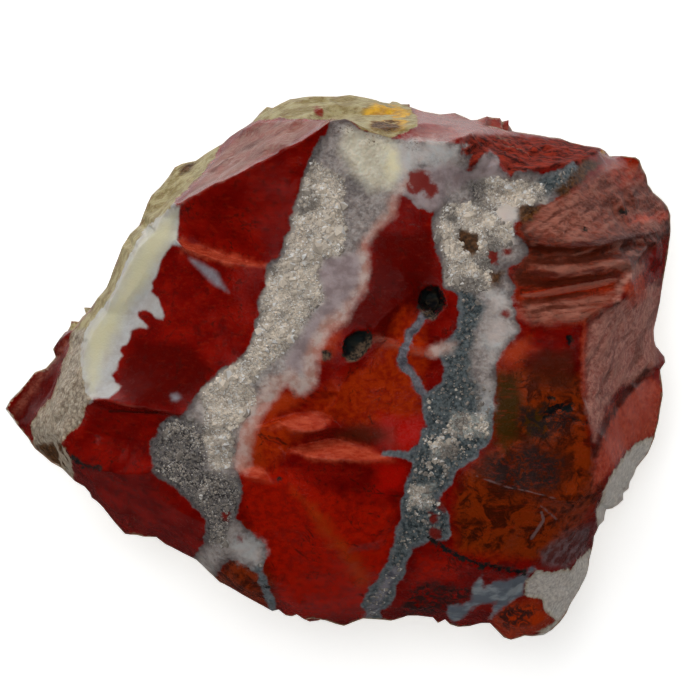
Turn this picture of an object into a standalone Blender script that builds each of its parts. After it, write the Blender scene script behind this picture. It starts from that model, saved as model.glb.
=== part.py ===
"""A broken hand specimen of red jasper, lying on its back on a small flat spot.

The broken face looks up. Quartz veins cross it, a pale rind wraps its back and sides, and
fracture scars, small ledges and two pits mark it. The stone is one piece, so it is one object.

Plan points are in plan units: x to the right, y down the plan, as on a drawing of the broken
face. A third number is the height above the surface that the stone lies on. STONE_WIDTH sets
how long a plan unit is, about 1.25 mm.
"""

import math
import random

import bmesh
import bpy
from mathutils import Vector, kdtree, noise
from mathutils.geometry import delaunay_2d_cdt

NAME = "jasper_stone"
STONE_WIDTH = 0.0835  # from the left tip to the right side, in metres

FRONT_SPACING = 1.22  # distance between neighbouring points of the broken face
BACK_SPACING = 1.75  # the same for the underside
LONGEST_EDGE = 2.1  # longer edges, which lie on steep walls, are halved
SPLIT_ROUNDS = 4
RELAX_ROUNDS = 200  # rounds in which the surface settles between its ridge lines
EDGE_RAGGEDNESS = 0.10  # how far a ridge strays from its line
SAME_PLACE = 0.0005  # points closer than this are one point
SEED = 7

JASPER_RED = (0.150, 0.010, 0.005, 1.0)
JASPER_ROUGHNESS = 0.42

# The outermost line of the stone, clockwise in plan from its left tip
EDGE_LEFT = [
    (0.4, 40.9, 7.0), (0.9, 40.0, 7.0), (2.0, 38.9, 7.5), (3.4, 37.2, 8.0), (4.5, 36.8, 8.5),
    (5.5, 35.7, 9.0), (5.2, 34.9, 9.0), (5.7, 34.2, 9.5), (7.0, 33.2, 10.4), (7.7, 32.4, 11.0),
    (8.1, 31.8, 11.5), (9.0, 30.9, 12.0), (9.8, 29.8, 12.5), (10.7, 28.7, 13.0),
    (11.3, 27.0, 13.0), (11.9, 25.4, 13.0), (12.2, 24.6, 13.0), (13.0, 23.4, 12.5),
    (13.9, 22.5, 12.0), (14.3, 21.4, 11.5), (14.7, 20.3, 11.0), (15.1, 19.5, 10.5),
    (16.0, 18.6, 10.0), (16.8, 17.6, 9.5), (17.4, 16.7, 9.0), (18.1, 16.3, 9.0),
    (19.5, 16.0, 9.5), (20.4, 15.4, 10.0), (21.3, 14.9, 10.5), (22.2, 14.4, 11.0),
    (23.1, 13.6, 11.5), (24.1, 12.9, 12.0), (25.2, 12.2, 12.5),
]
EDGE_TOP = [
    (26.2, 11.4, 13.0), (27.0, 11.0, 13.0), (28.0, 10.4, 13.0), (29.0, 9.9, 12.5),
    (30.0, 9.5, 12.0), (31.2, 9.45, 12.0), (32.5, 9.6, 12.0), (33.7, 9.65, 12.0),
    (35.0, 9.5, 12.0), (36.3, 9.7, 12.0), (37.7, 10.0, 12.0), (39.0, 10.3, 12.0),
    (40.1, 10.5, 12.0), (41.3, 10.75, 12.5), (42.4, 11.1, 13.0), (44.0, 11.35, 13.0),
    (45.5, 11.75, 13.5), (47.0, 12.0, 14.0), (48.5, 12.45, 14.0), (49.7, 12.7, 14.5),
    (50.6, 13.0, 14.5), (52.0, 13.2, 14.0), (53.5, 13.45, 13.5), (55.0, 13.7, 13.0),
    (56.1, 13.8, 12.5), (57.1, 14.2, 12.0), (58.5, 14.5, 12.0), (60.0, 14.7, 12.0),
    (60.6, 15.0, 12.0), (61.0, 15.5, 12.0), (62.2, 15.5, 12.0), (63.6, 15.65, 12.0),
    (64.0, 16.0, 12.0), (64.3, 16.8, 11.5), (64.7, 17.5, 11.0), (64.8, 18.4, 11.0),
    (65.4, 19.2, 10.5), (66.2, 19.9, 10.0), (66.8, 20.6, 10.0), (67.1, 21.5, 10.0),
]
EDGE_RIGHT = [
    (67.15, 23.0, 10.0), (67.0, 24.2, 10.0), (66.8, 25.8, 9.5), (66.6, 27.0, 9.5),
    (66.4, 28.2, 9.0), (66.2, 29.3, 9.0), (66.0, 30.6, 9.0), (65.7, 32.0, 9.0),
    (65.4, 33.5, 9.0), (65.7, 34.6, 9.0), (65.9, 35.7, 9.0), (66.1, 37.0, 9.0),
    (66.3, 38.5, 9.0), (66.35, 39.5, 9.0), (66.2, 40.5, 8.5), (66.05, 41.7, 8.5),
    (65.8, 42.9, 8.5), (65.6, 43.8, 8.0), (65.2, 44.8, 8.0), (64.9, 45.4, 7.5),
    (64.3, 46.1, 7.0), (63.7, 46.8, 7.0), (63.4, 47.6, 7.0), (63.0, 48.2, 7.0),
    (62.9, 48.9, 6.5), (62.4, 49.3, 6.5), (62.4, 50.0, 6.5), (61.9, 50.5, 6.5),
    (61.3, 50.9, 6.5), (60.7, 51.0, 7.0), (60.6, 51.6, 7.0), (60.5, 52.1, 7.5),
    (60.0, 52.6, 8.0), (59.5, 53.7, 8.5), (59.3, 54.8, 9.0),
]
EDGE_BOTTOM = [
    (59.0, 56.0, 9.0), (58.8, 57.1, 9.5), (58.4, 58.2, 9.5), (58.0, 59.0, 10.0),
    (57.0, 60.5, 10.0), (56.7, 61.3, 10.0), (56.0, 62.3, 10.5), (55.2, 63.0, 11.0),
    (54.4, 63.5, 11.0), (53.3, 63.65, 11.0), (52.5, 63.6, 11.0), (51.1, 64.05, 11.0),
    (50.4, 63.8, 11.0), (49.7, 63.1, 11.5), (49.0, 62.4, 12.0), (48.1, 62.4, 12.0),
    (47.0, 62.65, 12.0), (45.8, 62.75, 12.0), (45.0, 62.5, 12.5), (44.5, 62.0, 13.0),
    (43.3, 61.8, 13.0), (41.8, 61.6, 13.0), (40.8, 61.6, 13.0), (40.0, 61.9, 13.0),
    (39.1, 62.1, 13.0), (37.8, 62.0, 13.0), (36.3, 61.85, 13.0), (35.3, 62.2, 13.0),
    (34.4, 62.55, 13.0), (33.6, 62.4, 13.0), (32.6, 62.05, 13.5), (31.3, 61.85, 14.0),
    (29.9, 61.5, 14.0), (28.8, 61.1, 14.0), (28.2, 60.9, 14.0), (27.2, 61.15, 13.5),
    (25.5, 60.2, 13.5), (23.7, 59.2, 13.5), (22.0, 58.2, 13.0), (20.7, 57.1, 13.0),
    (19.6, 56.0, 13.0), (17.8, 55.0, 12.5), (16.5, 54.4, 12.0), (15.6, 53.7, 12.0),
    (14.3, 53.7, 11.5), (13.4, 53.5, 11.0), (12.0, 52.4, 11.0), (10.7, 51.3, 10.5),
    (9.1, 49.8, 10.0), (8.9, 49.3, 10.0), (8.4, 48.7, 10.0), (7.4, 48.1, 9.5),
    (6.8, 47.5, 9.0), (6.2, 46.9, 9.0), (5.0, 46.3, 8.5), (4.0, 45.4, 8.0), (3.4, 44.9, 7.5),
    (2.7, 43.9, 7.0), (1.5, 42.4, 7.0),
]
OUTLINE = EDGE_LEFT + EDGE_TOP + EDGE_RIGHT + EDGE_BOTTOM

# Ridges, lips, grooves and folds of the broken face. Lines that meet share a point.
FACE_LINES = {
    # The upper left corner: a sloping facet behind a crest, and the rind beyond it
    "left_crest": [
        (17.2, 20.8, 21.5), (18.2, 20.4, 23.2), (20.6, 19.1, 24.8), (23.5, 17.7, 25.8),
        (26.8, 15.8, 26.4), (30.0, 14.3, 26.5), (31.8, 13.1, 26.0), (33.0, 12.1, 25.2),
        (34.5, 11.8, 24.6),
    ],
    "rind_line_left": [
        (13.9, 22.5, 12.0), (15.0, 22.5, 17.0), (16.3, 21.6, 20.2), (17.2, 20.8, 21.5),
        (18.0, 19.6, 19.6), (19.6, 18.2, 17.6), (20.6, 17.1, 15.8), (21.6, 15.8, 13.6),
        (22.2, 14.4, 11.0),
    ],
    "rind_line_top": [
        (26.2, 11.4, 13.0), (27.5, 11.7, 16.0), (29.5, 11.8, 19.0), (31.8, 11.9, 22.2),
        (34.5, 11.8, 24.6), (35.2, 12.1, 24.6), (36.6, 13.0, 24.6), (38.0, 13.5, 24.5),
        (39.2, 13.9, 24.2), (40.2, 13.3, 23.2), (41.3, 12.75, 22.2), (42.5, 12.5, 21.4),
        (44.0, 12.7, 21.0), (46.0, 12.9, 20.4), (48.0, 12.95, 19.2), (49.7, 12.7, 14.5),
    ],
    "left_rim": [
        (16.3, 21.6, 20.2), (15.6, 23.2, 20.3), (14.0, 24.8, 19.8), (12.9, 26.6, 19.3),
        (11.8, 29.0, 18.8), (10.5, 31.2, 18.3), (9.3, 33.0, 17.9), (8.5, 35.0, 17.7),
        (7.7, 37.2, 17.6), (6.9, 39.5, 17.6), (6.4, 42.0, 17.9), (6.2, 44.4, 18.4),
    ],
    # The left tip, a slab of jasper that stands behind the quartz
    "tip_foot": [
        (6.7, 33.9, 10.4), (6.2, 35.2, 10.3), (5.6, 37.0, 10.1), (4.9, 38.8, 9.9),
        (4.2, 40.0, 9.7), (3.3, 41.3, 9.3), (2.9, 42.6, 8.9), (3.2, 43.4, 8.6),
    ],
    "tip_lip": [
        (7.4, 34.4, 12.6), (6.9, 35.8, 13.2), (6.3, 37.4, 13.2), (5.6, 39.0, 12.8),
        (4.9, 40.4, 12.4), (4.1, 41.6, 11.8), (3.7, 42.7, 11.2), (3.9, 43.5, 10.4),
    ],
    # Two steps across the red facets on the left
    "upper_step_foot": [
        (17.6, 24.0, 22.6), (19.5, 24.6, 22.7), (21.5, 25.2, 22.9), (23.5, 25.8, 23.4),
        (24.6, 26.2, 24.1), (26.2, 26.7, 25.0),
    ],
    "upper_step_lip": [
        (17.6, 24.0, 22.6), (18.3, 24.7, 24.0), (20.0, 25.3, 24.5), (22.0, 26.0, 24.8),
        (24.0, 26.4, 25.0), (26.2, 26.7, 25.0),
    ],
    "lower_step_lip": [
        (8.8, 39.9, 22.0), (9.7, 40.0, 22.8), (10.8, 40.0, 23.4), (12.0, 40.3, 23.9),
        (13.5, 40.6, 24.2), (15.5, 41.0, 24.5), (17.5, 41.4, 24.6), (18.6, 41.6, 24.6),
    ],
    "lower_step_foot": [
        (8.8, 39.9, 22.0), (9.6, 40.6, 21.2), (10.8, 40.9, 21.4), (12.5, 41.1, 21.9),
        (14.5, 41.3, 22.7), (16.5, 41.6, 23.7), (18.6, 41.6, 24.6),
    ],
    "scar_hollow": [(8.5, 42.8, 19.6), (10.5, 43.7, 19.7), (13.0, 44.0, 20.9)],
    "scar_ridge": [
        (6.2, 44.4, 18.4), (6.8, 45.2, 18.4), (7.5, 46.1, 18.8), (8.8, 46.7, 19.6),
        (10.2, 47.1, 20.6), (12.0, 47.5, 21.6), (14.0, 47.4, 22.6), (15.2, 47.0, 23.2),
    ],
    "left_fold": [
        (8.6, 47.6, 15.8), (10.5, 48.3, 17.6), (13.0, 49.0, 19.2), (16.0, 50.0, 20.6),
        (18.5, 51.2, 21.5), (20.3, 52.2, 21.8),
    ],
    # The middles of the two quartz veins, which lie a little below the jasper
    "main_vein": [
        (34.0, 15.0, 25.2), (32.6, 19.5, 25.4), (30.8, 24.5, 25.6), (28.8, 30.0, 25.8),
        (26.0, 35.5, 25.6), (23.2, 40.0, 25.1), (20.8, 44.5, 24.4), (21.0, 49.0, 23.6),
        (22.0, 53.5, 22.3), (22.6, 55.0, 21.6),
    ],
    "right_vein": [
        (47.0, 21.5, 23.8), (47.0, 25.0, 24.3), (47.8, 29.0, 24.7), (48.0, 33.5, 25.0),
        (46.8, 38.0, 24.9), (45.5, 43.0, 24.6), (44.2, 48.0, 24.1), (42.8, 51.5, 23.4),
        (40.8, 54.6, 22.3), (39.2, 57.6, 20.4), (37.6, 60.7, 16.8),
    ],
    # The crest and the chipped lips of the middle
    "small_facet": [
        (38.6, 25.8, 26.2), (39.2, 26.4, 26.3), (40.4, 27.8, 26.5), (41.4, 29.2, 26.3),
    ],
    "middle_crest": [
        (41.4, 29.2, 26.3), (40.5, 30.0, 26.5), (39.3, 30.8, 26.8), (38.0, 32.0, 27.0),
        (37.3, 33.0, 27.0),
    ],
    "middle_crest_below": [
        (35.0, 36.2, 26.9), (34.5, 37.6, 26.9), (33.9, 39.3, 26.7), (33.4, 40.8, 26.3),
        (33.3, 42.0, 25.5),
    ],
    "side_chip_foot": [
        (37.8, 33.5, 26.9), (39.5, 33.8, 26.2), (41.5, 34.1, 25.8), (43.8, 34.5, 25.3),
    ],
    "side_chip_lip": [
        (37.8, 33.5, 26.9), (39.5, 34.5, 26.8), (41.0, 35.0, 26.5), (42.2, 35.6, 26.3),
        (43.7, 35.8, 25.6), (43.8, 34.5, 25.3),
    ],
    "upper_chip_foot": [
        (25.5, 42.8, 25.2), (27.0, 42.1, 25.0), (28.0, 41.75, 24.8), (29.5, 41.4, 24.6),
        (31.2, 41.15, 24.6), (32.2, 41.2, 24.7), (33.1, 41.6, 25.0), (33.3, 42.0, 25.5),
    ],
    "upper_chip_lip": [
        (25.5, 42.8, 25.2), (26.6, 42.4, 25.6), (27.9, 42.0, 26.0), (28.5, 42.4, 26.2),
        (29.3, 42.9, 26.4), (30.5, 43.1, 26.5), (32.0, 43.0, 26.2), (33.0, 42.7, 25.9),
        (33.3, 42.0, 25.5),
    ],
    "lower_chip_foot": [
        (28.8, 44.7, 25.0), (30.5, 44.4, 24.6), (32.0, 44.0, 24.3), (33.2, 43.8, 24.3),
        (34.5, 44.1, 24.4), (36.0, 44.7, 24.8), (37.5, 45.4, 25.2), (39.2, 45.95, 25.6),
    ],
    "lower_chip_lip": [
        (28.8, 44.7, 25.0), (30.0, 45.3, 25.8), (31.3, 45.7, 26.2), (33.0, 45.85, 26.3),
        (35.0, 45.9, 26.3), (37.2, 46.0, 26.0), (39.2, 45.95, 25.6), (41.0, 46.4, 25.0),
    ],
    "small_chip_foot": [
        (24.3, 46.9, 24.2), (25.0, 46.6, 23.9), (25.7, 46.4, 23.8), (26.4, 47.1, 24.2),
        (27.2, 48.2, 24.6),
    ],
    "small_chip_lip": [
        (24.3, 46.9, 24.2), (24.7, 47.6, 24.8), (25.8, 47.7, 25.0), (27.2, 48.2, 24.6),
    ],
    # The lower middle: a bevelled crest that runs down to the edge, and a short one beside it
    "low_crest": [
        (27.2, 48.2, 24.6), (29.0, 49.2, 24.8), (30.5, 50.3, 24.6), (31.8, 51.7, 24.2),
        (33.2, 53.5, 23.4), (34.6, 55.3, 22.4), (35.5, 57.0, 21.3), (36.2, 58.5, 20.0),
        (35.9, 59.8, 18.6), (35.0, 61.1, 16.9),
    ],
    "low_crest_bevel": [
        (31.2, 49.9, 24.7), (32.6, 51.4, 24.3), (34.2, 53.3, 23.5), (35.6, 55.2, 22.4),
        (36.8, 57.1, 21.0), (37.4, 58.2, 19.8),
    ],
    "foot_crest": [(26.2, 57.0, 20.6), (27.2, 58.2, 19.9), (28.2, 60.1, 17.8)],
    "bottom_rim": [
        (10.0, 49.4, 14.4), (12.0, 51.0, 15.2), (15.0, 52.4, 16.4), (18.0, 53.8, 17.2),
        (20.5, 55.4, 17.8), (22.5, 57.0, 18.2), (25.0, 58.8, 18.2), (27.0, 60.1, 17.2),
        (28.2, 60.1, 17.8), (30.0, 60.5, 18.0), (33.0, 61.1, 17.3), (35.0, 61.1, 16.9),
        (37.6, 60.7, 16.8), (40.0, 60.7, 16.8), (43.0, 60.7, 16.8), (45.5, 61.2, 16.2),
        (48.0, 61.2, 15.8), (50.0, 61.8, 15.2), (51.5, 62.8, 14.4), (53.5, 62.6, 14.4),
        (55.0, 61.2, 13.8), (56.0, 59.6, 14.0), (56.9, 57.6, 14.2),
    ],
    # The upper right: a lit ledge, a crumbling edge, a quartz pocket and stepped ribs
    "pink_ledge": [
        (39.2, 13.9, 24.2), (40.5, 14.1, 24.6), (42.0, 14.25, 24.9), (44.5, 14.5, 25.0),
        (46.0, 14.1, 24.4), (47.0, 13.6, 23.0), (48.0, 12.95, 19.2),
    ],
    "crumbly_edge": [
        (44.5, 14.5, 25.0), (45.7, 15.0, 25.0), (47.0, 16.4, 24.4), (48.1, 15.8, 23.8),
        (49.2, 15.3, 22.8), (49.8, 16.5, 23.3), (50.8, 17.8, 23.6), (52.5, 17.2, 22.6),
        (54.5, 16.8, 21.6), (56.5, 16.5, 20.4), (58.0, 15.9, 18.4), (59.6, 15.3, 15.6),
        (60.6, 15.0, 12.0),
    ],
    "pocket_floor": [
        (47.5, 18.0, 22.9), (49.5, 19.5, 22.6), (52.5, 19.0, 22.2), (54.5, 18.4, 21.6),
    ],
    "upper_rib": [
        (50.3, 22.3, 24.4), (52.0, 23.8, 25.0), (54.5, 24.7, 25.1), (57.0, 24.9, 24.6),
        (60.0, 24.6, 23.0), (62.5, 23.9, 20.2), (65.0, 23.3, 15.6), (67.15, 23.0, 10.0),
    ],
    "upper_groove": [
        (52.8, 24.9, 24.3), (55.0, 25.7, 23.8), (57.5, 25.8, 23.4), (60.0, 25.5, 22.1),
        (62.5, 24.8, 19.6), (63.8, 24.5, 17.4),
    ],
    "middle_rib": [
        (51.5, 26.6, 24.9), (53.0, 27.2, 25.2), (55.0, 27.8, 25.3), (57.0, 27.7, 25.0),
        (59.0, 27.3, 24.5), (61.0, 26.7, 23.4), (62.6, 26.1, 22.0), (63.4, 26.2, 20.6),
    ],
    "lower_groove": [
        (51.2, 29.6, 24.6), (53.0, 29.9, 24.3), (56.0, 29.9, 24.0), (59.0, 29.9, 23.6),
        (61.0, 29.8, 23.2), (62.3, 29.8, 22.9),
    ],
    "shelf_lip": [
        (51.0, 31.0, 25.1), (52.0, 32.2, 25.7), (53.5, 32.6, 26.1), (56.0, 32.4, 26.1),
        (58.4, 32.2, 25.7),
    ],
    # The right side: one long crest, and the wavy facets that fall away beyond it
    "right_crest": [
        (67.15, 23.0, 10.0), (65.5, 23.9, 14.2), (64.5, 24.9, 17.6), (63.4, 26.2, 20.6),
        (62.8, 28.0, 22.4), (62.3, 29.8, 22.9), (61.2, 30.4, 24.0), (60.0, 30.8, 24.8),
        (59.0, 31.3, 25.3), (58.4, 32.2, 25.7), (58.0, 34.0, 25.6), (57.9, 36.0, 25.4),
        (58.0, 38.0, 25.1), (58.1, 39.6, 24.9), (58.7, 41.0, 24.6), (59.0, 43.0, 24.1),
        (59.0, 45.0, 23.6), (58.8, 47.0, 23.1), (58.4, 47.4, 22.9),
    ],
    "side_fold": [
        (66.2, 29.3, 9.0), (64.8, 30.0, 13.4), (63.3, 30.8, 17.2), (62.0, 31.6, 20.4),
        (60.6, 32.6, 22.8),
    ],
    "side_step_lip": [
        (64.8, 37.2, 12.2), (63.5, 37.9, 14.6), (62.2, 39.1, 17.2), (61.0, 40.8, 19.7),
        (60.1, 42.5, 21.4), (59.5, 44.5, 22.8),
    ],
    "side_step_foot": [
        (64.9, 37.9, 11.0), (63.9, 38.4, 12.9), (62.7, 39.6, 15.5), (61.4, 41.3, 18.2),
        (60.5, 42.9, 20.2), (59.9, 44.8, 21.9),
    ],
    "side_foot": [(58.4, 47.4, 22.9), (59.6, 47.5, 21.4), (60.7, 47.7, 19.4)],
    "rind_line_right": [
        (65.6, 43.8, 8.0), (64.7, 44.0, 10.0), (63.7, 44.4, 12.0), (62.9, 44.9, 14.0),
        (62.4, 45.5, 15.4), (61.7, 46.6, 17.4), (60.7, 47.7, 19.4), (60.3, 48.7, 19.5),
        (59.9, 50.0, 19.2), (59.5, 51.1, 18.7), (59.6, 51.9, 17.2), (59.0, 52.8, 15.6),
        (59.5, 53.7, 8.5),
    ],
    # The lower right: a soft fold, an open crack and the edge of a violet patch
    "face_fold": [
        (48.0, 47.5, 24.6), (50.0, 48.3, 24.6), (52.0, 49.0, 24.4), (54.0, 49.7, 24.1),
        (56.0, 50.0, 23.7), (57.8, 50.2, 22.6),
    ],
    "open_crack": [
        (43.2, 54.1, 22.4), (45.5, 55.3, 21.8), (47.0, 56.4, 21.2), (50.0, 56.8, 20.6),
        (52.5, 57.3, 19.6), (54.5, 57.0, 18.4), (57.5, 56.6, 15.0),
    ],
    "patch_edge": [
        (52.5, 57.3, 19.6), (54.8, 54.5, 20.4), (57.5, 53.0, 19.0), (59.0, 52.8, 15.6),
    ],
}

# Pits in the broken face: the mouth in plan, the height of its rim, and the depth
PITS = [
    (
        [
            (41.8, 30.3), (42.1, 29.2), (42.7, 28.7), (43.8, 28.7), (44.4, 29.7), (44.6, 30.5),
            (43.8, 31.3), (43.4, 31.8), (42.8, 31.5), (42.0, 30.9),
        ],
        25.9,
        1.9,
    ),
    (
        [
            (34.3, 34.9), (34.6, 33.8), (35.5, 33.2), (36.8, 33.1), (37.2, 33.7), (36.8, 34.8),
            (36.0, 35.8), (35.0, 36.0), (34.4, 35.6),
        ],
        26.8,
        0.8,
    ),
]
PIT_FLOOR = 0.58  # width of a pit's floor as a share of its mouth

# Where crystals stand in the veins, as outlines in plan: the surface there is lumpy
CRYSTAL_BEDS = [
    [
        (31.5, 16.5), (35.0, 17.5), (36.0, 20.5), (33.5, 25.0), (32.0, 29.5), (29.0, 33.0),
        (26.5, 36.8), (23.5, 42.0), (22.5, 46.0), (23.6, 49.2), (20.8, 51.0), (17.0, 46.5),
        (17.5, 42.6), (22.0, 37.0), (24.8, 34.5), (26.2, 29.8), (27.6, 26.5), (30.2, 20.0),
    ],
    [
        (44.5, 17.5), (48.5, 16.5), (54.0, 19.0), (51.0, 22.0), (50.0, 25.0), (47.6, 28.0),
        (45.0, 27.0), (44.3, 21.5),
    ],
    [
        (46.5, 40.5), (49.0, 42.0), (47.5, 44.5), (44.5, 48.5), (41.5, 52.5), (40.4, 50.0),
        (42.0, 45.0), (43.5, 41.0),
    ],
]
CRYSTAL_LUMP = 0.22  # how far the lumps stand up or lie back

# The flat spot that the stone rests on
REST = [
    (21.5, 31.0), (24.0, 26.5), (29.5, 24.0), (37.0, 23.5), (43.5, 26.0), (47.0, 31.0),
    (47.5, 37.5), (45.0, 44.0), (39.5, 48.0), (32.5, 49.0), (26.0, 46.5), (22.0, 41.0),
    (20.5, 36.0),
]
# The waist of the underside, one point for each corner of the flat spot
WAIST = [
    (12.6, 30.0, 5.6), (19.4, 18.6, 3.8), (26.6, 14.0, 5.4), (37.5, 12.9, 4.6),
    (51.6, 16.0, 5.8), (61.0, 18.0, 4.6), (62.5, 34.8, 3.6), (58.6, 47.9, 2.8),
    (51.6, 60.2, 4.4), (34.0, 59.4, 5.6), (19.6, 52.9, 5.0), (10.9, 46.2, 4.4),
    (8.6, 39.2, 3.4),
]
# Where the ribs of the underside meet the outline, in the same order
RIB_ENDS = [
    (10.7, 28.7, 13.0), (18.1, 16.3, 9.0), (26.2, 11.4, 13.0), (37.7, 10.0, 12.0),
    (53.5, 13.45, 13.5), (63.6, 15.65, 12.0), (65.4, 33.5, 9.0), (62.4, 49.3, 6.5),
    (54.4, 63.5, 11.0), (34.4, 62.55, 13.0), (17.8, 55.0, 12.5), (7.4, 48.1, 9.5),
    (0.4, 40.9, 7.0),
]

SWELL_SIZE = 9.0  # spacing of the slow swells of every surface
SWELL_HEIGHT = 0.30
CHIP_SIZES = (7.5, 3.6)  # widths of the flat chips that break up a surface
CHIP_TILT_FACE = 0.035  # how far a chip tilts on the broken face, as a slope
CHIP_TILT_WALL = 0.08  # the same on the walls
CHIP_TILT_BACK = 0.22  # the same on the underside
KNOB_SIZE = 4.2  # spacing of the knobs of the rind
KNOB_HEIGHT = 0.60

PLAN_LEFT = min(p[0] for p in OUTLINE)
PLAN_RIGHT = max(p[0] for p in OUTLINE)
PLAN_CENTRE = (
    (PLAN_LEFT + PLAN_RIGHT) / 2,
    (min(p[1] for p in OUTLINE) + max(p[1] for p in OUTLINE)) / 2,
)
PLAN_UNIT = STONE_WIDTH / (PLAN_RIGHT - PLAN_LEFT)


def clear_scene():
    """Removes what a new file holds."""
    for obj in list(bpy.data.objects):
        bpy.data.objects.remove(obj)


def inside(x, y, outline):
    """True where the plan point lies in the outline."""
    within = False
    for (x0, y0), (x1, y1) in zip(outline, outline[1:] + outline[:1]):
        if (y0 > y) != (y1 > y) and x < x0 + (y - y0) / (y1 - y0) * (x1 - x0):
            within = not within
    return within


def points_along(line, spacing, closed=False):
    """The line's own points with ragged ones between them, about one spacing apart."""
    chance = random.Random(SEED)
    ends = line[1:] + line[:1] if closed else line[1:]
    points = []
    for start, end in zip(line, ends):
        start, end = Vector(start), Vector(end)
        pieces = max(1, round((end - start).length / spacing))
        across = Vector((start.y - end.y, end.x - start.x, 0)).normalized()
        points.append(start)
        for i in range(1, pieces):
            stray = across * chance.uniform(-1, 1) * EDGE_RAGGEDNESS
            points.append(start.lerp(end, i / pieces) + stray)
    if not closed:
        points.append(Vector(line[-1]))
    return points


def pit_rings(mouth, rim, depth):
    """The mouth of a pit and the edge of its floor, as two closed lines."""
    x0 = sum(x for x, _ in mouth) / len(mouth)
    y0 = sum(y for _, y in mouth) / len(mouth)
    rings = []
    for share, height in ((1.0, rim), (PIT_FLOOR, rim - depth)):
        ring = [(x0 + (x - x0) * share, y0 + (y - y0) * share, height) for x, y in mouth]
        rings.append(ring)
    return rings


def triangulate(open_lines, closed_lines, spacing):
    """Covers the outline with triangles whose sides follow the lines.

    Returns their points, the triangles, and which points lie on a line.
    """
    places, found, sides = [], {}, []

    def index_of(point):
        key = (round(point.x, 3), round(point.y, 3))
        if key not in found:
            found[key] = len(places)
            places.append(point.copy())
        return found[key]

    runs = [(line, False) for line in open_lines]
    runs += [(line, True) for line in closed_lines]
    for line, closed in runs:
        step = LONGEST_EDGE if closed else spacing
        row = [index_of(p) for p in points_along(line, step, closed)]
        ends = row[1:] + row[:1] if closed else row[1:]
        sides += [(a, b) for a, b in zip(row, ends) if a != b]
    on_lines = len(places)
    near = kdtree.KDTree(on_lines)
    for i, point in enumerate(places):
        near.insert(Vector((point.x, point.y, 0)), i)
    near.balance()

    edge = [(x, y) for x, y, _ in OUTLINE]
    chance = random.Random(SEED)
    row_step = spacing * math.sqrt(3) / 2
    for row in range(int(70 / row_step)):
        for column in range(int(70 / spacing)):
            x = (column + 0.5 * (row % 2)) * spacing + chance.uniform(-0.2, 0.2) * spacing
            y = row * row_step + chance.uniform(-0.2, 0.2) * spacing
            if not inside(x, y, edge):
                continue
            _, nearest, away = near.find((x, y, 0))
            if away > 0.62 * spacing:
                places.append(Vector((x, y, places[nearest].z)))

    flat = [Vector((p.x, p.y)) for p in places]
    made = delaunay_2d_cdt(flat, sides, [], 0, SAME_PLACE)
    points, triangles, sources = made[0], made[2], made[3]
    heights = [places[s[0]].z if s else 0.0 for s in sources]
    fixed = [bool(s) and min(s) < on_lines for s in sources]
    corners = [Vector((p.x, p.y, z)) for p, z in zip(points, heights)]
    kept = []
    for triangle in triangles:
        middle = sum((corners[i] for i in triangle), Vector()) / 3
        if inside(middle.x, middle.y, edge):
            kept.append(triangle)
    return corners, kept, fixed


def settled_surface(open_lines, closed_lines, spacing, faces_up):
    """A surface stretched over the lines like a skin, as a bmesh in plan units."""
    corners, triangles, fixed = triangulate(open_lines, closed_lines, spacing)
    surface = bmesh.new()
    on_line = surface.verts.layers.int.new("on_line")
    verts = [surface.verts.new(c) for c in corners]
    for vert, held in zip(verts, fixed):
        vert[on_line] = int(held)
    for triangle in triangles:
        surface.faces.new([verts[i] for i in triangle])
    for vert in [v for v in surface.verts if not v.link_faces]:
        surface.verts.remove(vert)
    settle(surface, on_line, RELAX_ROUNDS)
    for _ in range(SPLIT_ROUNDS):
        split_long_edges(surface, on_line)
        settle(surface, on_line, RELAX_ROUNDS // 4)
    split_chords(surface, on_line)
    settle(surface, on_line, 3)
    surface.normal_update()
    upward = sum(f.normal.z * f.calc_area() for f in surface.faces) > 0
    if upward != faces_up:
        bmesh.ops.reverse_faces(surface, faces=surface.faces[:])
    return surface


def settle(surface, on_line, rounds):
    """Moves every point that is on no line towards the middle of its neighbours."""
    loose = [v for v in surface.verts if not v[on_line] and not v.is_boundary]
    for _ in range(rounds):
        bmesh.ops.smooth_vert(
            surface, verts=loose, factor=0.7, use_axis_x=True, use_axis_y=True, use_axis_z=True
        )


def halve(surface, on_line, edges):
    """Gives each of the edges a loose point in its middle."""
    made = bmesh.ops.subdivide_edges(surface, edges=edges, cuts=1)
    for item in made["geom_inner"]:
        if isinstance(item, bmesh.types.BMVert):
            item[on_line] = 0
    bmesh.ops.triangulate(surface, faces=surface.faces[:])


def split_long_edges(surface, on_line):
    """Halves the edges that a steep wall has stretched."""
    long_edges = [
        e
        for e in surface.edges
        if e.calc_length() > LONGEST_EDGE
        and not e.is_boundary
        and not (e.verts[0][on_line] and e.verts[1][on_line])
    ]
    halve(surface, on_line, long_edges)
    free_edges = [
        e for e in surface.edges if not (e.verts[0][on_line] and e.verts[1][on_line])
    ]
    bmesh.ops.beautify_fill(
        surface, faces=surface.faces[:], edges=free_edges, method="ANGLE"
    )


def split_chords(surface, on_line):
    """Halves the edges that join two outline points.

    The front and the back then share only the outline.
    """
    chords = [
        e
        for e in surface.edges
        if not e.is_boundary and e.verts[0].is_boundary and e.verts[1].is_boundary
    ]
    halve(surface, on_line, chords)


def face_surface():
    """The broken face, up to the outline."""
    rings = [OUTLINE]
    for pit in PITS:
        rings += pit_rings(*pit)
    return settled_surface(list(FACE_LINES.values()), rings, FRONT_SPACING, True)


def underside_surface():
    """The back that the stone lies on, up to the same outline."""
    rest = [(x, y, 0.0) for x, y in REST]
    ribs = [[base, middle, end] for base, middle, end in zip(rest, WAIST, RIB_ENDS)]
    return settled_surface(ribs, [OUTLINE, WAIST, rest], BACK_SPACING, False)


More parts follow.
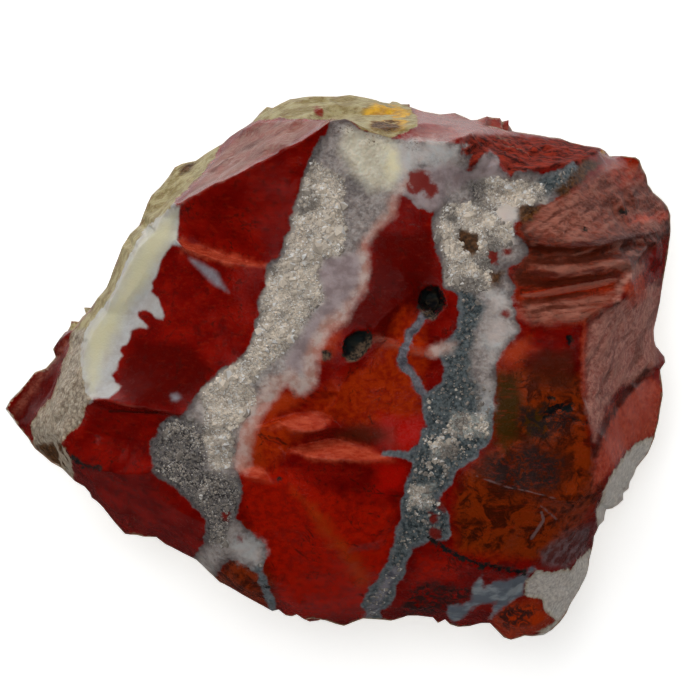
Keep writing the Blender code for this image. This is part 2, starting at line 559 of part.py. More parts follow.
def joined(front, back):
    """Both surfaces in one bmesh, closed along the outline that they share."""
    holder = bpy.data.meshes.new("underside")
    back.to_mesh(holder)
    back.free()
    front.from_mesh(holder)
    bpy.data.meshes.remove(holder)
    bmesh.ops.remove_doubles(front, verts=front.verts[:], dist=SAME_PLACE)
    front.normal_update()
    return front


def chipped(point):
    """Height of a surface broken into small flat chips, each with a tilt of its own."""
    height = 0.0
    for size in CHIP_SIZES:
        _, centres = noise.voronoi(point / size)
        tilt = noise.cell_vector(centres[0] * 31.7)
        height += tilt.dot(point / size - centres[0]) * size
    return height


def chip_tilt(normal):
    """The slope of the chips of a surface that faces this way."""
    if normal.z < 0:
        return CHIP_TILT_BACK
    return CHIP_TILT_WALL + (CHIP_TILT_FACE - CHIP_TILT_WALL) * normal.z


def rind_share(point, normal):
    """1 where the stone still wears its rind, 0 where it is broken jasper."""
    under = min(1.0, max(0.0, 0.2 - normal.z) / 0.5)
    behind = min(1.0, max(0.0, (46.0 - point.y) / 8.0))
    return under * behind


def knob(point):
    """Height of the rind's rounded knobs at a point, from 0 to 1."""
    distances, _ = noise.voronoi(point / KNOB_SIZE)
    return max(0.0, 1.0 - (distances[0] / 0.75) ** 2)


def roughen(stone):
    """Adds swells, grain, crystal lumps and the knobs of the rind.

    The flat spot and the outline stay as they are.
    """
    chance = random.Random(SEED + 1)
    stone.normal_update()
    edge = [(x, y) for x, y, _ in OUTLINE]
    places = {(round(x, 3), round(y, 3)) for x, y in edge}
    moves = {}
    for vert in stone.verts:
        point, normal = vert.co.copy(), vert.normal.copy()
        if point.z < 0.01 or (round(point.x, 3), round(point.y, 3)) in places:
            continue
        if normal.z > 0 and any(inside(point.x, point.y, pit[0]) for pit in PITS):
            continue
        rise = SWELL_HEIGHT * noise.noise(point / SWELL_SIZE)
        rise += chip_tilt(normal) * chipped(point)
        rise += KNOB_HEIGHT * (knob(point) - 0.5) * rind_share(point, normal)
        bedded = normal.z > 0.5 and any(inside(point.x, point.y, bed) for bed in CRYSTAL_BEDS)
        if bedded:
            rise += chance.uniform(-1, 1) * CRYSTAL_LUMP
        moves[vert] = normal * rise * min(1.0, point.z / 2.0)
    for vert, move in moves.items():
        vert.co += move
        vert.co.z = max(vert.co.z, 0.05)


def place_in_frame(stone):
    """Turns plan units into metres, with the origin under the middle of the outline."""
    for vert in stone.verts:
        x, y, z = vert.co
        vert.co = Vector((x - PLAN_CENTRE[0], PLAN_CENTRE[1] - y, z)) * PLAN_UNIT
    bmesh.ops.reverse_faces(stone, faces=stone.faces[:])


def jasper_material():
    """Deep red, with the waxy shine of a fresh break."""
    material = bpy.data.materials.new("jasper")
    material.use_nodes = True
    shader = material.node_tree.nodes["Principled BSDF"]
    shader.inputs["Base Color"].default_value = JASPER_RED
    shader.inputs["Roughness"].default_value = JASPER_ROUGHNESS
    shader.inputs["Metallic"].default_value = 0.0
    return material


def build_stone():
    """The stone as one closed object in a collection of its own."""
    stone = joined(face_surface(), underside_surface())
    roughen(stone)
    place_in_frame(stone)
    mesh = bpy.data.meshes.new(NAME)
    stone.to_mesh(mesh)
    stone.free()
    mesh.materials.append(jasper_material())
    obj = bpy.data.objects.new(NAME, mesh)
    collection = bpy.data.collections.new("red_jasper")
    bpy.context.scene.collection.children.link(collection)
    collection.objects.link(obj)
    mesh.shade_smooth()
    mesh.set_sharp_from_angle(angle=math.radians(20))
    return obj


clear_scene()
build_stone()
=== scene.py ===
"""The red jasper's look: a fine skin over the solid, quartz crystals in its veins, and the studio.

Plan points are in plan units, x to the right and y down the plan, as on a drawing of the
broken face seen from straight above. One plan unit is about 1.25 mm. Sizes and heights of
the relief are in plan units too, and colours are linear.
"""
import math

import bmesh
import bpy
import numpy as np
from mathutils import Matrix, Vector, noise


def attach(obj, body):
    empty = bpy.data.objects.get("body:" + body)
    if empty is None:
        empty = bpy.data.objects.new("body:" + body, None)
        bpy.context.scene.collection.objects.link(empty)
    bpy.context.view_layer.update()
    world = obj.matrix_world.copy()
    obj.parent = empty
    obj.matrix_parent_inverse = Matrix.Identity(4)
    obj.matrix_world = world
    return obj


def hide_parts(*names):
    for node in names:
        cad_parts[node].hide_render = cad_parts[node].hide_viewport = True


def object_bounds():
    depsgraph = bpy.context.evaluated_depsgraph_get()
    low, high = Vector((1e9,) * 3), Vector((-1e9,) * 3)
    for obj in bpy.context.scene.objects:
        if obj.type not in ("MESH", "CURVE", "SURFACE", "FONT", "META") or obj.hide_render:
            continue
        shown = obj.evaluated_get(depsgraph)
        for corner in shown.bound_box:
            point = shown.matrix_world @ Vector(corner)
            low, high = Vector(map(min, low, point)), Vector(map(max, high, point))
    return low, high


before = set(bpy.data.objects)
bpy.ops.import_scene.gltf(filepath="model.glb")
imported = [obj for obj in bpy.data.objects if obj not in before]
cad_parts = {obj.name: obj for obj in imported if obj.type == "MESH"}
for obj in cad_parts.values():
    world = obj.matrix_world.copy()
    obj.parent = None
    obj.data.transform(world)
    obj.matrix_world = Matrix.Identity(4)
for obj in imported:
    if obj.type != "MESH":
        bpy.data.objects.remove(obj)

CAD_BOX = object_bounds()
NODE = "jasper_stone"

# The plan: its span between the left tip and the right side, and its middle
PLAN_SPAN = 66.75
PLAN_CENTRE = (33.775, 36.75)
UNIT = (CAD_BOX[1][0] - CAD_BOX[0][0]) / PLAN_SPAN

# The skin: edges longer than this on the face, the walls and the back are halved
FRONT_EDGE = 0.3645
WALL_EDGE = 0.621
BACK_EDGE = 1.0125
MOST_HALVINGS = 7
CREASE_ANGLE = math.radians(17)
SMOOTH_ROUNDS = 14
FLAT_SPOT = 0.02  # points of the skin below this height keep their place

REACH = 3.2  # how far outside an outline distances are told
QUARTZ_IOR = 1.54
SEED = 11
CRYSTAL_TRIES = 26000
CRYSTAL_CELL = 0.8  # size of the cells in which a crystal's neighbours are looked up
CRYSTAL_ROOM = 0.36  # least distance of two crystals, as a share of both sizes together
RING = 6  # sides of a crystal

MAIN_VEIN = [
    (33.1, 12), (32.6, 13.5), (32, 13.8), (31.6, 14.6), (31.1, 15.6), (30.7, 16.6), (30.3, 17.6), (30, 18.6),
    (29.8, 19.5), (29.5, 20.3), (29.3, 21.3), (28.8, 22), (29.1, 23), (28.4, 23.6), (28.3, 24.6),
    (28.1, 25.6), (27.5, 26), (26.8, 26.5), (26.6, 27.5), (26.6, 28.6), (26.1, 29.5), (25.6, 30.4),
    (25.9, 31.5), (25.3, 32.5), (25.5, 33.1), (25.1, 34.1), (24.8, 34.8), (24, 35.7), (23, 36.5),
    (22.3, 36.5), (21.6, 37.5), (20.7, 38.4), (20, 39.2), (19.1, 40.1), (18.8, 41), (18, 41.5), (16.8, 41.7),
    (16.1, 42.3), (15.8, 43.3), (15.1, 44.1), (15.1, 45.2), (15.4, 46.5), (15.2, 47.1), (16, 47.8),
    (17.3, 48.6), (18.3, 49.5), (19.3, 50.5), (20, 51.3), (20.6, 52.1), (20.5, 53.3), (20.4, 54.3),
    (19.8, 55.1), (18.8, 56.6), (21.2, 58.4), (22.3, 56.6), (23, 56.1), (24, 56), (24.6, 56.4), (25.3, 57.1),
    (26, 57.7), (26.3, 57.3), (26.5, 56.6), (26.6, 55.6), (26.6, 54.6), (26.1, 54), (25.3, 53.5),
    (24.8, 52.8), (24.1, 52.3), (23.6, 51.6), (24.1, 50.6), (24.3, 49.8), (24.3, 49), (24.1, 48.1),
    (24, 47.3), (23.6, 46.8), (23.6, 45.6), (24, 44.3), (24.1, 43), (24.5, 42.3), (25.5, 41.3), (25.8, 40.5),
    (27.2, 40), (28, 38.4), (28.8, 38.1), (29.5, 38.7), (30, 39.3), (30.6, 38.6), (31.3, 38), (31.5, 37.1),
    (31.1, 36), (31.3, 35), (32, 34.1), (32.3, 33.1), (32.8, 32.5), (33.6, 32.1), (34.5, 31.6), (34.8, 31),
    (35.5, 29.8), (36.1, 29), (36.4, 28), (36.6, 27.1), (36.6, 26), (36.2, 25), (36.3, 24.3), (36.8, 23.5),
    (37.6, 22.6), (38.3, 22.1), (39, 21.5), (39.1, 20.3), (39.3, 19.6), (40.1, 19.5), (40.8, 18.6),
    (41.5, 17), (43.5, 16.6), (45.8, 16), (46.5, 14.6), (44, 14.2), (41.5, 14.1), (39.2, 13.9), (38, 13.5),
    (36.2, 13.1), (35.1, 12.2), (34.6, 11.9),
]
RIGHT_VEIN = [
    (44, 20.3), (43.3, 21), (43.2, 22.1), (43.3, 24.6), (43.7, 25.6), (44.1, 26.5), (44.1, 28.5),
    (44.8, 29.1), (45.7, 29.5), (45.8, 31.3), (45.5, 32.8), (45, 33.5), (44, 34.6), (43.8, 35.8),
    (44.3, 36.5), (44.4, 37.3), (43.9, 38.3), (43, 39), (42.7, 39.3), (42.1, 39.3), (42.1, 40.3),
    (42.3, 41.3), (42.6, 42.5), (42, 42.8), (41.9, 44), (41.3, 44.8), (40.8, 45.1), (38.2, 44.9), (38, 45.4),
    (40.5, 45.9), (41.2, 46.3), (41, 47.1), (40.5, 48.3), (40.3, 49.3), (40, 49.7), (40, 50.6), (39.9, 52),
    (39.5, 52.8), (39.4, 54), (39, 55), (38.6, 56.3), (37.6, 58), (37, 58.6), (36.3, 60), (36.1, 60.6),
    (36.6, 61.3), (36.5, 63), (38.3, 63), (38.1, 61), (39.1, 60.5), (39.6, 59.5), (39.6, 58.6), (40.1, 58.1),
    (40.6, 57.3), (40.5, 56.6), (41, 55.6), (41.3, 54.8), (42.1, 54.6), (43.1, 54), (44.8, 54), (45.1, 53.3),
    (44.8, 51.1), (44, 49.8), (44.3, 49.3), (45, 48.6), (45.5, 47.6), (45.8, 47), (46.6, 46.5), (47.6, 45.8),
    (48.1, 45), (49, 44), (49.3, 43), (49.3, 41.8), (49.2, 40.3), (49.5, 39), (49.6, 37.5), (49.5, 36.3),
    (50, 35.4), (51, 34.3), (51.9, 33.3), (51.8, 32.5), (51.5, 31.8), (51.6, 31.1), (51.1, 30), (51.5, 28.7),
    (50.8, 27.6), (50.6, 26.8), (52, 26.3), (52.8, 25.3), (52.6, 24.3), (51.6, 23.5), (51.3, 22.6),
    (51.7, 22.3), (54, 20.5), (55, 20.3), (56, 19.7), (57.4, 17.9), (58, 16.8), (57.2, 16.2), (56, 16.9),
    (55, 17.3), (54, 17.5), (53, 17), (51.6, 17.3), (51, 17.8), (50, 16.6), (49.6, 15.6), (49, 15.1),
    (48, 15.8), (47.5, 16.3), (47, 17), (46.1, 17.1), (45, 17), (44, 17.5), (43.6, 19.3),
]
PALE_BAND = [
    (16, 21.6), (17, 21), (18.1, 20.5), (18, 21.8), (17.8, 24), (18.2, 24.7), (17.3, 24.65), (16.65, 25.35),
    (16.25, 26.1), (15.9, 27.1), (15.8, 27.8), (15.3, 28.15), (15.4, 28.8), (15.15, 29.15), (15.8, 29.7),
    (16.1, 30.5), (16.5, 31.6), (16.4, 32.1), (15.6, 31.9), (15, 31.25), (14.5, 31.1), (13.9, 31.15),
    (13.8, 31.6), (14.3, 32), (14.8, 32.5), (14.9, 32.9), (13.9, 32.8), (13.15, 33.15), (13.1, 33.8),
    (12.75, 34.4), (12.25, 34.65), (12.1, 35.1), (12.4, 35.6), (11.9, 36.25), (11.75, 37), (11.3, 37.5),
    (11.65, 38.15), (12.25, 38.65), (12, 39.1), (11.3, 39.5), (10.9, 39.9), (9.2, 39.8), (8.7, 39.3),
    (8.5, 38), (8.2, 36.5), (8.2, 34.5), (8.5, 33), (9.5, 31.8), (10.5, 30.5), (11.5, 29), (12.5, 26.5),
    (13.5, 24.5), (14.5, 23),
]
LEFT_RIND = [
    (23, 13.2), (21.3, 15.8), (20, 17.7), (19, 18.7), (17.6, 20), (17, 21), (16, 21.6), (14.5, 23),
    (13.5, 24.5), (12.5, 26.5), (11.5, 29), (10.5, 30.5), (9.5, 31.8), (8.5, 33), (7.1, 33.2), (6, 32.4),
    (8, 30), (10, 26.5), (11.5, 23.5), (13.5, 20), (16, 16), (20, 13.5), (22.5, 12),
]
LEFT_GRIT = [
    (8.5, 33), (8.2, 34.5), (8.2, 36.5), (8.5, 38), (8.7, 39.3), (9.2, 39.8), (8.75, 40.6), (8.4, 41.5),
    (8.25, 42.3), (7.65, 42.8), (7.15, 43.3), (6.6, 43.8), (6.1, 44.3), (7.2, 46), (7.3, 47.9), (6, 48.2),
    (4, 46.6), (3.2, 45.2), (3.1, 43.5), (3, 42.5), (3.8, 41), (5.2, 39.5), (6.2, 36.5), (7, 34.5),
    (7.1, 33),
]
TOP_RIND = [
    (25, 12.2), (27.5, 11.8), (30, 11.95), (33, 12), (34.6, 11.9), (35.1, 12.2), (36.2, 13.1), (38, 13.5),
    (39.2, 13.9), (40, 13.5), (41.8, 12.7), (41.7, 11.8), (41.1, 10.7), (40, 9.4), (38, 8.5), (30, 8.5),
    (26, 10.5),
]
RIGHT_RIND = [
    (65.7, 43.5), (65, 43.8), (64, 44.1), (63.2, 44.6), (62.7, 45.2), (62.2, 45.8), (61.7, 46.5),
    (61.2, 47.3), (60.7, 47.9), (60.4, 48.6), (60.2, 49.5), (59.8, 50.5), (59.5, 51.1), (59.7, 52.2),
    (60.5, 54), (64, 52), (68, 46), (68, 39), (66.5, 39), (66.1, 41),
]
CORNER_QUARTZ = [
    (52.3, 59.5), (52.5, 58.2), (53.5, 57.1), (55, 57.1), (57, 56.9), (57.7, 56), (59, 55), (60.5, 55),
    (60, 60), (57, 64), (54.1, 64.5), (53, 63.7), (54.5, 62.8), (55.6, 62.1), (54.5, 61.2), (54, 60),
]
AGATE = [
    (44.7, 60.5), (46.2, 60.5), (47, 60), (47.3, 59), (47.2, 58.3), (48, 57.8), (48.2, 57.5), (48.3, 58.8),
    (49.5, 58.1), (51, 57.9), (52.7, 57.3), (53, 56.7), (53.6, 56.6), (52.5, 58), (52.3, 59.5), (50.8, 60.3),
    (49.3, 61.7), (48.7, 62), (49.7, 60.1), (47.8, 60.5), (46.2, 61.8), (45.5, 62.4), (44.8, 61.8),
]
# Folded, rippled, striated and crumbly parts of the face
RIBBED = [
    (51.3, 22.8), (54, 20.6), (57, 19), (59, 17.8), (61, 16.5), (64, 16), (67.5, 19), (68, 23), (65, 25),
    (63, 28), (61.5, 30.2), (58.5, 32.3), (53, 32.6), (51.5, 30), (50.8, 27.5), (52.6, 25),
]
RIPPLED = [
    (58.4, 32.2), (60, 30.8), (62.5, 29.8), (66.8, 27), (66.8, 37), (64.5, 37.4), (62.5, 38.5), (61, 40),
    (60, 42), (59.2, 45), (58.8, 42), (58, 38), (57.9, 35),
]
STRIATED = [
    (17, 21), (20, 19.2), (23.5, 17.7), (26.8, 15.8), (30, 14.3), (33.1, 12), (30, 11.9), (25.5, 12),
    (22.5, 14.4), (20, 17.7), (17.6, 20),
]
CRUMBLY = [
    (45.5, 15), (47, 13.4), (50, 13.1), (56, 13.8), (60.5, 14.8), (57.5, 16.8), (55, 16.9), (51.2, 17.8),
    (50, 16.6), (49, 15.1), (47, 17),
]
SMALL_VEIN = [
    (43, 31.5), (42.3, 31.6), (41.6, 32.6), (41, 33.3), (40.6, 34.6), (40.2, 35.5), (40.3, 36.6), (41, 37.3),
    (41.6, 38.3), (42.1, 39.1),
]
THREAD = [
    (26.2, 57.4), (26.5, 58.8), (27, 59.8), (27.4, 61.3),
]

# Zones of the material and the relief by name, as outlines that are filled
AREAS = {
    "vein": [
        MAIN_VEIN,
        RIGHT_VEIN,
        [(40, 19.6), (41, 17.4), (42.6, 16.2), (45, 15.4), (47.2, 15.6), (46.6, 17.2), (44.8, 18.2),
         (44.4, 20.6), (43, 21.4), (41.6, 20.6)],
    ],
    "band": [PALE_BAND],
    "cool": [
        [(44, 30), (46, 28.6), (48.6, 30.6), (47.4, 33), (47, 36), (47.2, 38), (49.6, 40), (49.6, 44),
         (46, 48), (46, 54.8), (42, 55.8), (40, 60), (38.6, 63.6), (35, 63.6), (35.6, 59), (39, 52),
         (37, 45.5), (38, 44.2), (41, 43), (41, 39), (43, 36)],
    ],
    "sparkle": [
        [(45.2, 41.2), (49, 41.6), (48.8, 43.4), (46.8, 43.8), (44.6, 43.2)],
        [(43, 44.4), (45.2, 44), (45.6, 45.4), (43.2, 45.8)],
        [(41, 48.6), (43.4, 48.4), (43, 50.8), (40.8, 50.6)],
    ],
    "corner": [CORNER_QUARTZ, RIGHT_RIND],
    "ribs": [RIBBED],
    # Painted highlight: brighter pink on the ribbed facets
    "pink_highlight": [
        [(53, 21.6), (57, 19.4), (59.6, 20.4), (59, 23), (56, 24), (53.6, 23.2)],
        [(52.4, 30.6), (58, 30.2), (58, 31.6), (53, 32)],
    ],
    "ember": [
        [(33.5, 38.5), (36.4, 37), (38.4, 34.4), (40.4, 31), (42, 32), (42.6, 36), (41.6, 41.6), (38, 42.4),
         (34, 42), (31.2, 41), (32, 39.4)],
        [(24.4, 43), (26.4, 41), (30, 41.4), (30.4, 43.4), (27, 46.6), (24.4, 47)],
        [(51.6, 28.4), (57, 28.2), (61.8, 27.4), (61, 29.4), (56, 29.9), (51.6, 29.8)],
        [(60.6, 17), (63.6, 16), (65, 18), (62, 18.8)],
        [(45.6, 53.2), (50, 53.6), (54, 52.6), (58, 50.2), (58.4, 52), (55, 55), (50, 56), (46.4, 55.2)],
    ],
    "glow": [
        [(24.2, 47.6), (29, 46.8), (34, 49.6), (40, 50.6), (39, 56), (36.4, 61.6), (28.4, 61.8),
         (27.4, 57.6), (24.6, 51.4)],
        [(42, 55.4), (45, 56.2), (46, 58), (41.6, 58.2)],
    ],
    "russet": [
        [(49.6, 36.8), (58.2, 37.6), (58.8, 44), (60.4, 48.6), (58, 53), (54, 56), (46, 55), (45.4, 51),
         (46, 47.4), (49.4, 44)],
        [(24.4, 52.6), (27, 57.6), (27.4, 61), (22, 58.6), (21.4, 58)],
    ],
    # Salmon-pink parts: partly the stone's own colour, partly painted highlight on lit ledges, chips and
    # crests
    "salmon_and_highlight": [
        [(61, 40.8), (64.5, 38), (66.6, 38.3), (66, 43.2), (63, 44.6), (61, 46.8), (59.2, 49), (59.6, 45)],
        [(62.4, 28.8), (64.2, 27.6), (64.6, 29.6), (63, 30.8)],
        [(18.2, 24.1), (22, 25.2), (26.6, 26.6), (22, 26.3), (18.4, 25.2)],
        [(27, 42.8), (29, 41.8), (31.5, 41.3), (33, 41.8), (32, 42.8), (30, 43.1), (28.5, 42.7)],
        [(29.3, 44.8), (31, 44.3), (34, 44), (36.5, 44.6), (39.5, 46), (38, 45.9), (34, 46.1), (31.5, 45.9),
         (29.8, 45.2)],
        [(23.8, 46.6), (25.2, 46.4), (26.4, 47), (27, 48.2), (25.6, 47.8), (24.4, 47.4)],
    ],
    "plum": [
        [(54, 55), (56.5, 53.4), (59.2, 52.4), (58.8, 55.4), (56.6, 56.8), (54.2, 56.6)],
    ],
    "milk": [
        [(39.5, 14.3), (42, 14), (44, 14.3), (45.8, 15), (45.2, 15.9), (43.5, 16.4), (42, 16.4),
         (41.2, 17.4), (40.2, 18.6), (39.2, 18.2), (38.6, 16.4), (38.8, 15)],
        [(48.9, 29.8), (49.8, 29.5), (50.8, 29.9), (51, 30.6), (50.2, 31.2), (49.2, 31)],
        [(48.4, 33.6), (48.9, 32.6), (49.8, 32), (50.9, 32.5), (51.2, 33.1), (50.4, 34.2), (49.6, 35.3),
         (49.1, 36), (48.5, 35)],
        [(48.2, 39.2), (48.9, 38.9), (48.9, 40.4), (48.4, 41)],
        [(23.6, 54), (24.6, 53.8), (25.8, 54.2), (26.2, 55.2), (25.6, 56), (24.2, 56), (23.4, 55)],
    ],
    "lens": [
        [(18.8, 25.8), (20.3, 26.3), (21.8, 27.2), (23, 29.4), (21.6, 28.6), (20.2, 27.4)],
        [(17.1, 39.4), (17.8, 39.2), (18.3, 39.7), (17.8, 40.2), (17.2, 40)],
    ],
    "murk": [
        [(34.6, 35.9), (35.8, 34.6), (36.9, 33.6), (37.3, 34), (36.9, 35), (36, 35.9), (35, 36.2)],
        [(32.2, 35), (33.1, 35), (33.2, 35.8), (32.4, 36)],
        [(42, 31), (43.2, 31.2), (43.6, 31.9), (42.8, 32.1)],
    ],
    "agate": [AGATE],
    "druse": [
        [(31.4, 16.3), (34.1, 17.8), (34.5, 19.5), (34.1, 20.6), (34.6, 23), (34.1, 25.6), (32.3, 25.7),
         (31.6, 27.3), (32, 28.6), (32.3, 30), (30.8, 31.6), (30, 33.1), (28.3, 35.3), (27.1, 36.3),
         (25.8, 37.5), (25, 38.6), (25.8, 40), (24.6, 42.1), (23.3, 43), (23.2, 46.5), (21.2, 47),
         (20.4, 44), (20.6, 41), (20.2, 39.4), (22.4, 37), (24.6, 35.4), (25.6, 33), (26.2, 30),
         (26.9, 27.2), (28.3, 25.9), (28.9, 22.8), (29.6, 20.6), (30.4, 18)],
        [(48, 18), (51, 18), (54.5, 18.6), (54.3, 20.3), (51.6, 21), (51, 24.5), (49.2, 25), (49, 29),
         (46.4, 29.2), (44.5, 28.3), (44.4, 25.5), (43.7, 23), (44.4, 20.6), (47, 20.4)],
    ],
    "cream": [
        [(34.6, 13), (36, 13.2), (39.5, 14.2), (40.2, 17), (39.2, 19), (37, 19), (35.4, 17.5), (34, 15)],
        [(16, 21.6), (17, 21), (18.1, 20.5), (18, 21.8), (17.8, 24), (17.3, 24.6), (16.2, 26.1),
         (15.2, 28.2), (13.2, 30.8), (12.2, 33.2), (10.9, 35.6), (10.2, 38.2), (9.6, 39.6), (8.7, 39.3),
         (8.2, 36.5), (8.2, 34.5), (8.5, 33), (10.5, 30.5), (11.5, 29), (12.5, 26.5), (13.5, 24.5),
         (14.5, 23)],
    ],
    "shade": [
        [(15.2, 41.8), (18, 41.5), (20.2, 42.5), (20.8, 47), (24, 48), (24.1, 51), (22.8, 52.6),
         (22.6, 54.4), (20.4, 54.2), (20.4, 51.8), (17, 48.3), (15.5, 47), (15.2, 44)],
        [(47.1, 18.4), (48.4, 18.4), (48.3, 20.2), (47.1, 20.2)],
        [(44, 46), (45.5, 47), (44.6, 49.6), (44.8, 53.6), (41.2, 54.8), (39.6, 59.5), (38.2, 62.5),
         (36.6, 62.5), (36.3, 60.4), (38.6, 56.6), (39.6, 53), (40.2, 50), (40.6, 48), (42, 45.5)],
        [(44, 38.5), (47, 38.5), (46.8, 42), (43, 42), (42.3, 40)],
        [(44, 30), (46.5, 30), (46, 34), (45, 37), (44, 35)],
    ],
    "smoke": [
        [(30, 19.3), (31.6, 19), (31.8, 20.8), (30.6, 21.6), (29.6, 21.4)],
        [(34.8, 17.8), (36.8, 17.8), (37.4, 19), (35.4, 19.8), (34.7, 19)],
        [(29.6, 14), (32.6, 14.4), (31.6, 16), (30.4, 17.4)],
        [(28.2, 24), (29, 25), (27.4, 27.2), (26.6, 27)],
        [(25.4, 31.4), (26.4, 31), (25.8, 33.4), (25, 34.4)],
        [(46.6, 18.2), (48.4, 18.2), (48.6, 20.4), (46.8, 20.6)],
        [(44.2, 20), (45.6, 19.8), (45.4, 22.4), (44.2, 22.6)],
        [(48.8, 24.6), (50.2, 25), (50, 27.2), (48.6, 27)],
        [(45.4, 27.6), (47.6, 28.2), (47, 29.6), (45, 29.2)],
    ],
    "specks": [
        [(33, 12.2), (34.8, 12), (35.2, 13.2), (33.4, 13.6)],
        [(36.6, 13.2), (38, 13.6), (37.6, 14.6), (36.4, 14.4)],
        [(40.6, 14), (42.4, 13.8), (42, 15), (40.8, 15.2)],
    ],
    "violet": [
        [(32.8, 25.7), (36.2, 25.2), (36.5, 27.5), (35.6, 29.6), (34.2, 31.4), (32.6, 32), (31.8, 33.6),
         (31, 35.5), (31, 37.5), (28.8, 37.6), (28.6, 35.6), (30.4, 33.2), (31.2, 31.6), (32.6, 30),
         (31.9, 27.4)],
        [(44.6, 17.2), (47, 17.2), (48.5, 15.6), (49.6, 16), (50.2, 17.6), (47.2, 18.2), (44.8, 19.2)],
        [(54.2, 59.8), (57, 57.6), (58.5, 56.5), (58, 59), (56, 60.6)],
        [(40, 19.6), (41, 17.6), (42.6, 16.8), (45, 16.4), (46.6, 17.2), (44.8, 18.2), (44.4, 20.6),
         (43, 21.4), (41.6, 20.6)],
    ],
    "rind": [LEFT_RIND, TOP_RIND, LEFT_GRIT, RIGHT_RIND, CORNER_QUARTZ],
    "grit": [LEFT_GRIT],
    # Pinkish dusty veils, partly painted sheen on facets tilted towards the light
    "dust_and_sheen": [
        [(51.8, 21.8), (54, 20.8), (57, 19.2), (59.4, 17.4), (61.4, 16.2), (64, 16.6), (66.6, 20.5),
         (66.2, 23), (62.5, 23.8), (57.5, 24), (53.5, 23.6)],
        [(51.4, 30.4), (54, 30.1), (58, 29.8), (61.2, 29.2), (61.8, 30), (59, 31.8), (55, 32.4),
         (51.6, 31.8)],
        [(52.4, 26), (56, 25.2), (60.5, 25.8), (61, 27), (57, 27.6), (53, 27.2)],
        [(41, 13.2), (44, 12.7), (49.8, 13.1), (47.5, 13.7), (44.5, 14.1), (41.5, 14)],
        [(41.4, 10.2), (46, 11.2), (51.5, 12.6), (51, 13.6), (47, 12.8), (43, 12.4), (41.6, 12.6)],
    ],
    "rust": [
        [(36.3, 11.2), (37.5, 10.3), (39.5, 10.4), (41.2, 11.2), (41.1, 12.4), (39.5, 13.1), (37.2, 12.9)],
        [(60.2, 14.8), (60.9, 14.9), (60.8, 15.5), (60.2, 15.3)],
    ],
    "brown": [
        [(17.9, 16.8), (19, 16.2), (19.6, 16.4), (18.8, 17), (18, 17.3)],
        [(36.8, 12.2), (38.2, 11.8), (39.8, 12), (40, 12.9), (38.6, 13.3), (37.2, 12.9)],
        [(3.5, 44.5), (6.2, 44.3), (7.2, 46), (7.3, 47.9), (6.4, 47.2), (4.6, 46.2)],
        [(45.7, 22.8), (46.5, 23), (47.8, 23.5), (47.9, 25), (47.2, 25.7), (46.5, 25.1), (45.8, 24)],
        [(51.8, 20.5), (54, 20.6), (53.2, 22.2), (51.9, 22.4)],
        [(49, 27.3), (50.2, 27.2), (50, 28.5), (49.1, 28.6)],
        [(55.3, 19.2), (56, 19.7), (58, 18.4), (60, 16.3), (58.5, 16), (56.5, 18.2)],
    ],
    "red_inclusion": [
        [(40.8, 17.4), (42.3, 17.1), (43.2, 18), (42.8, 19.1), (41.4, 19.1)],
        [(42.2, 18.3), (43.3, 18.2), (43.8, 19.2), (43, 19.9), (42.3, 19.4)],
        [(40.7, 18.6), (41.6, 18.9), (41.4, 19.7), (40.8, 19.5)],
        [(43.7, 49.9), (44.7, 50), (44.6, 51), (43.8, 50.9)],
        [(43.1, 51.2), (43.8, 51.3), (43.7, 52.2), (43.1, 52.1)],
        [(43, 52.8), (44, 52.9), (43.9, 53.8), (43.1, 53.7)],
        [(48.8, 25), (49.7, 25.2), (49.6, 26.5), (48.9, 26.4)],
        [(22.2, 51.2), (22.8, 51.3), (22.7, 51.8), (22.3, 51.8)],
        [(23.8, 53.5), (24.3, 53.6), (24.2, 54.1), (23.8, 54)],
        [(31.5, 10.7), (32.2, 10.8), (32.1, 11.5), (31.6, 11.4)],
    ],
    "vivid": [
        [(38, 41.5), (42, 42), (42.5, 44), (40.5, 45), (38, 44.5)],
        [(37.6, 46.4), (40.8, 46.5), (40.2, 49.3), (37.8, 49.2)],
    ],
    "orange": [
        [(24, 42.8), (25.6, 41.6), (26.4, 43), (26.2, 46.3), (24.2, 47.2)],
        [(50, 34.6), (52.6, 33.8), (53.4, 35), (52, 36.2), (50, 36.4)],
        [(50, 60.2), (51.5, 60), (53.5, 60), (54.1, 60.6), (55.6, 61.9), (54.8, 62.6), (52.5, 64),
         (50.5, 64.5), (49.2, 62.2)],
        [(32.8, 33), (34, 32.4), (33.9, 34), (32.8, 35.5), (31.8, 36.2), (31.8, 34.8)],
        [(29.2, 48.8), (31.5, 50.5), (33, 52.2), (34.3, 54), (35.5, 55.5), (36.5, 57.2), (37, 58.3),
         (35.8, 58.5), (35, 57), (34, 55.2), (32.5, 53.5), (30.5, 50.3)],
        [(26.2, 40.6), (28, 39), (29.4, 39.2), (30.5, 39.8), (29, 41), (26.4, 41.8)],
    ],
    "olive": [
        [(49.6, 37.4), (51.6, 37.8), (52.2, 40), (52, 43), (50.5, 45.4), (49.3, 44.6), (49.4, 41)],
        [(52, 40.5), (54.5, 40.6), (55, 43), (53, 43.7), (51.8, 42.5)],
    ],
    # Darker patches: partly the jasper's own dark red, partly painted shade on facets turned away from the
    # light and in grooves
    "dark_and_shaded": [
        [(13.4, 33.6), (19.5, 35), (21.5, 37), (19, 40), (15, 41), (12.6, 40), (12.4, 36.4)],
        [(37.4, 23.2), (43, 23.2), (44, 29), (41, 32.6), (37.6, 37), (37.4, 33), (34, 32.6), (36.8, 29)],
        [(51.8, 35.4), (57.8, 34.6), (58.2, 44), (56, 46.4), (51.8, 44.4)],
        [(0.4, 41), (3, 37.5), (6, 33), (7, 34), (5, 39), (3, 42.5), (1.6, 42.6)],
        [(33.5, 42.8), (39, 42.9), (39.5, 44.6), (36, 44.6), (33.4, 43.8)],
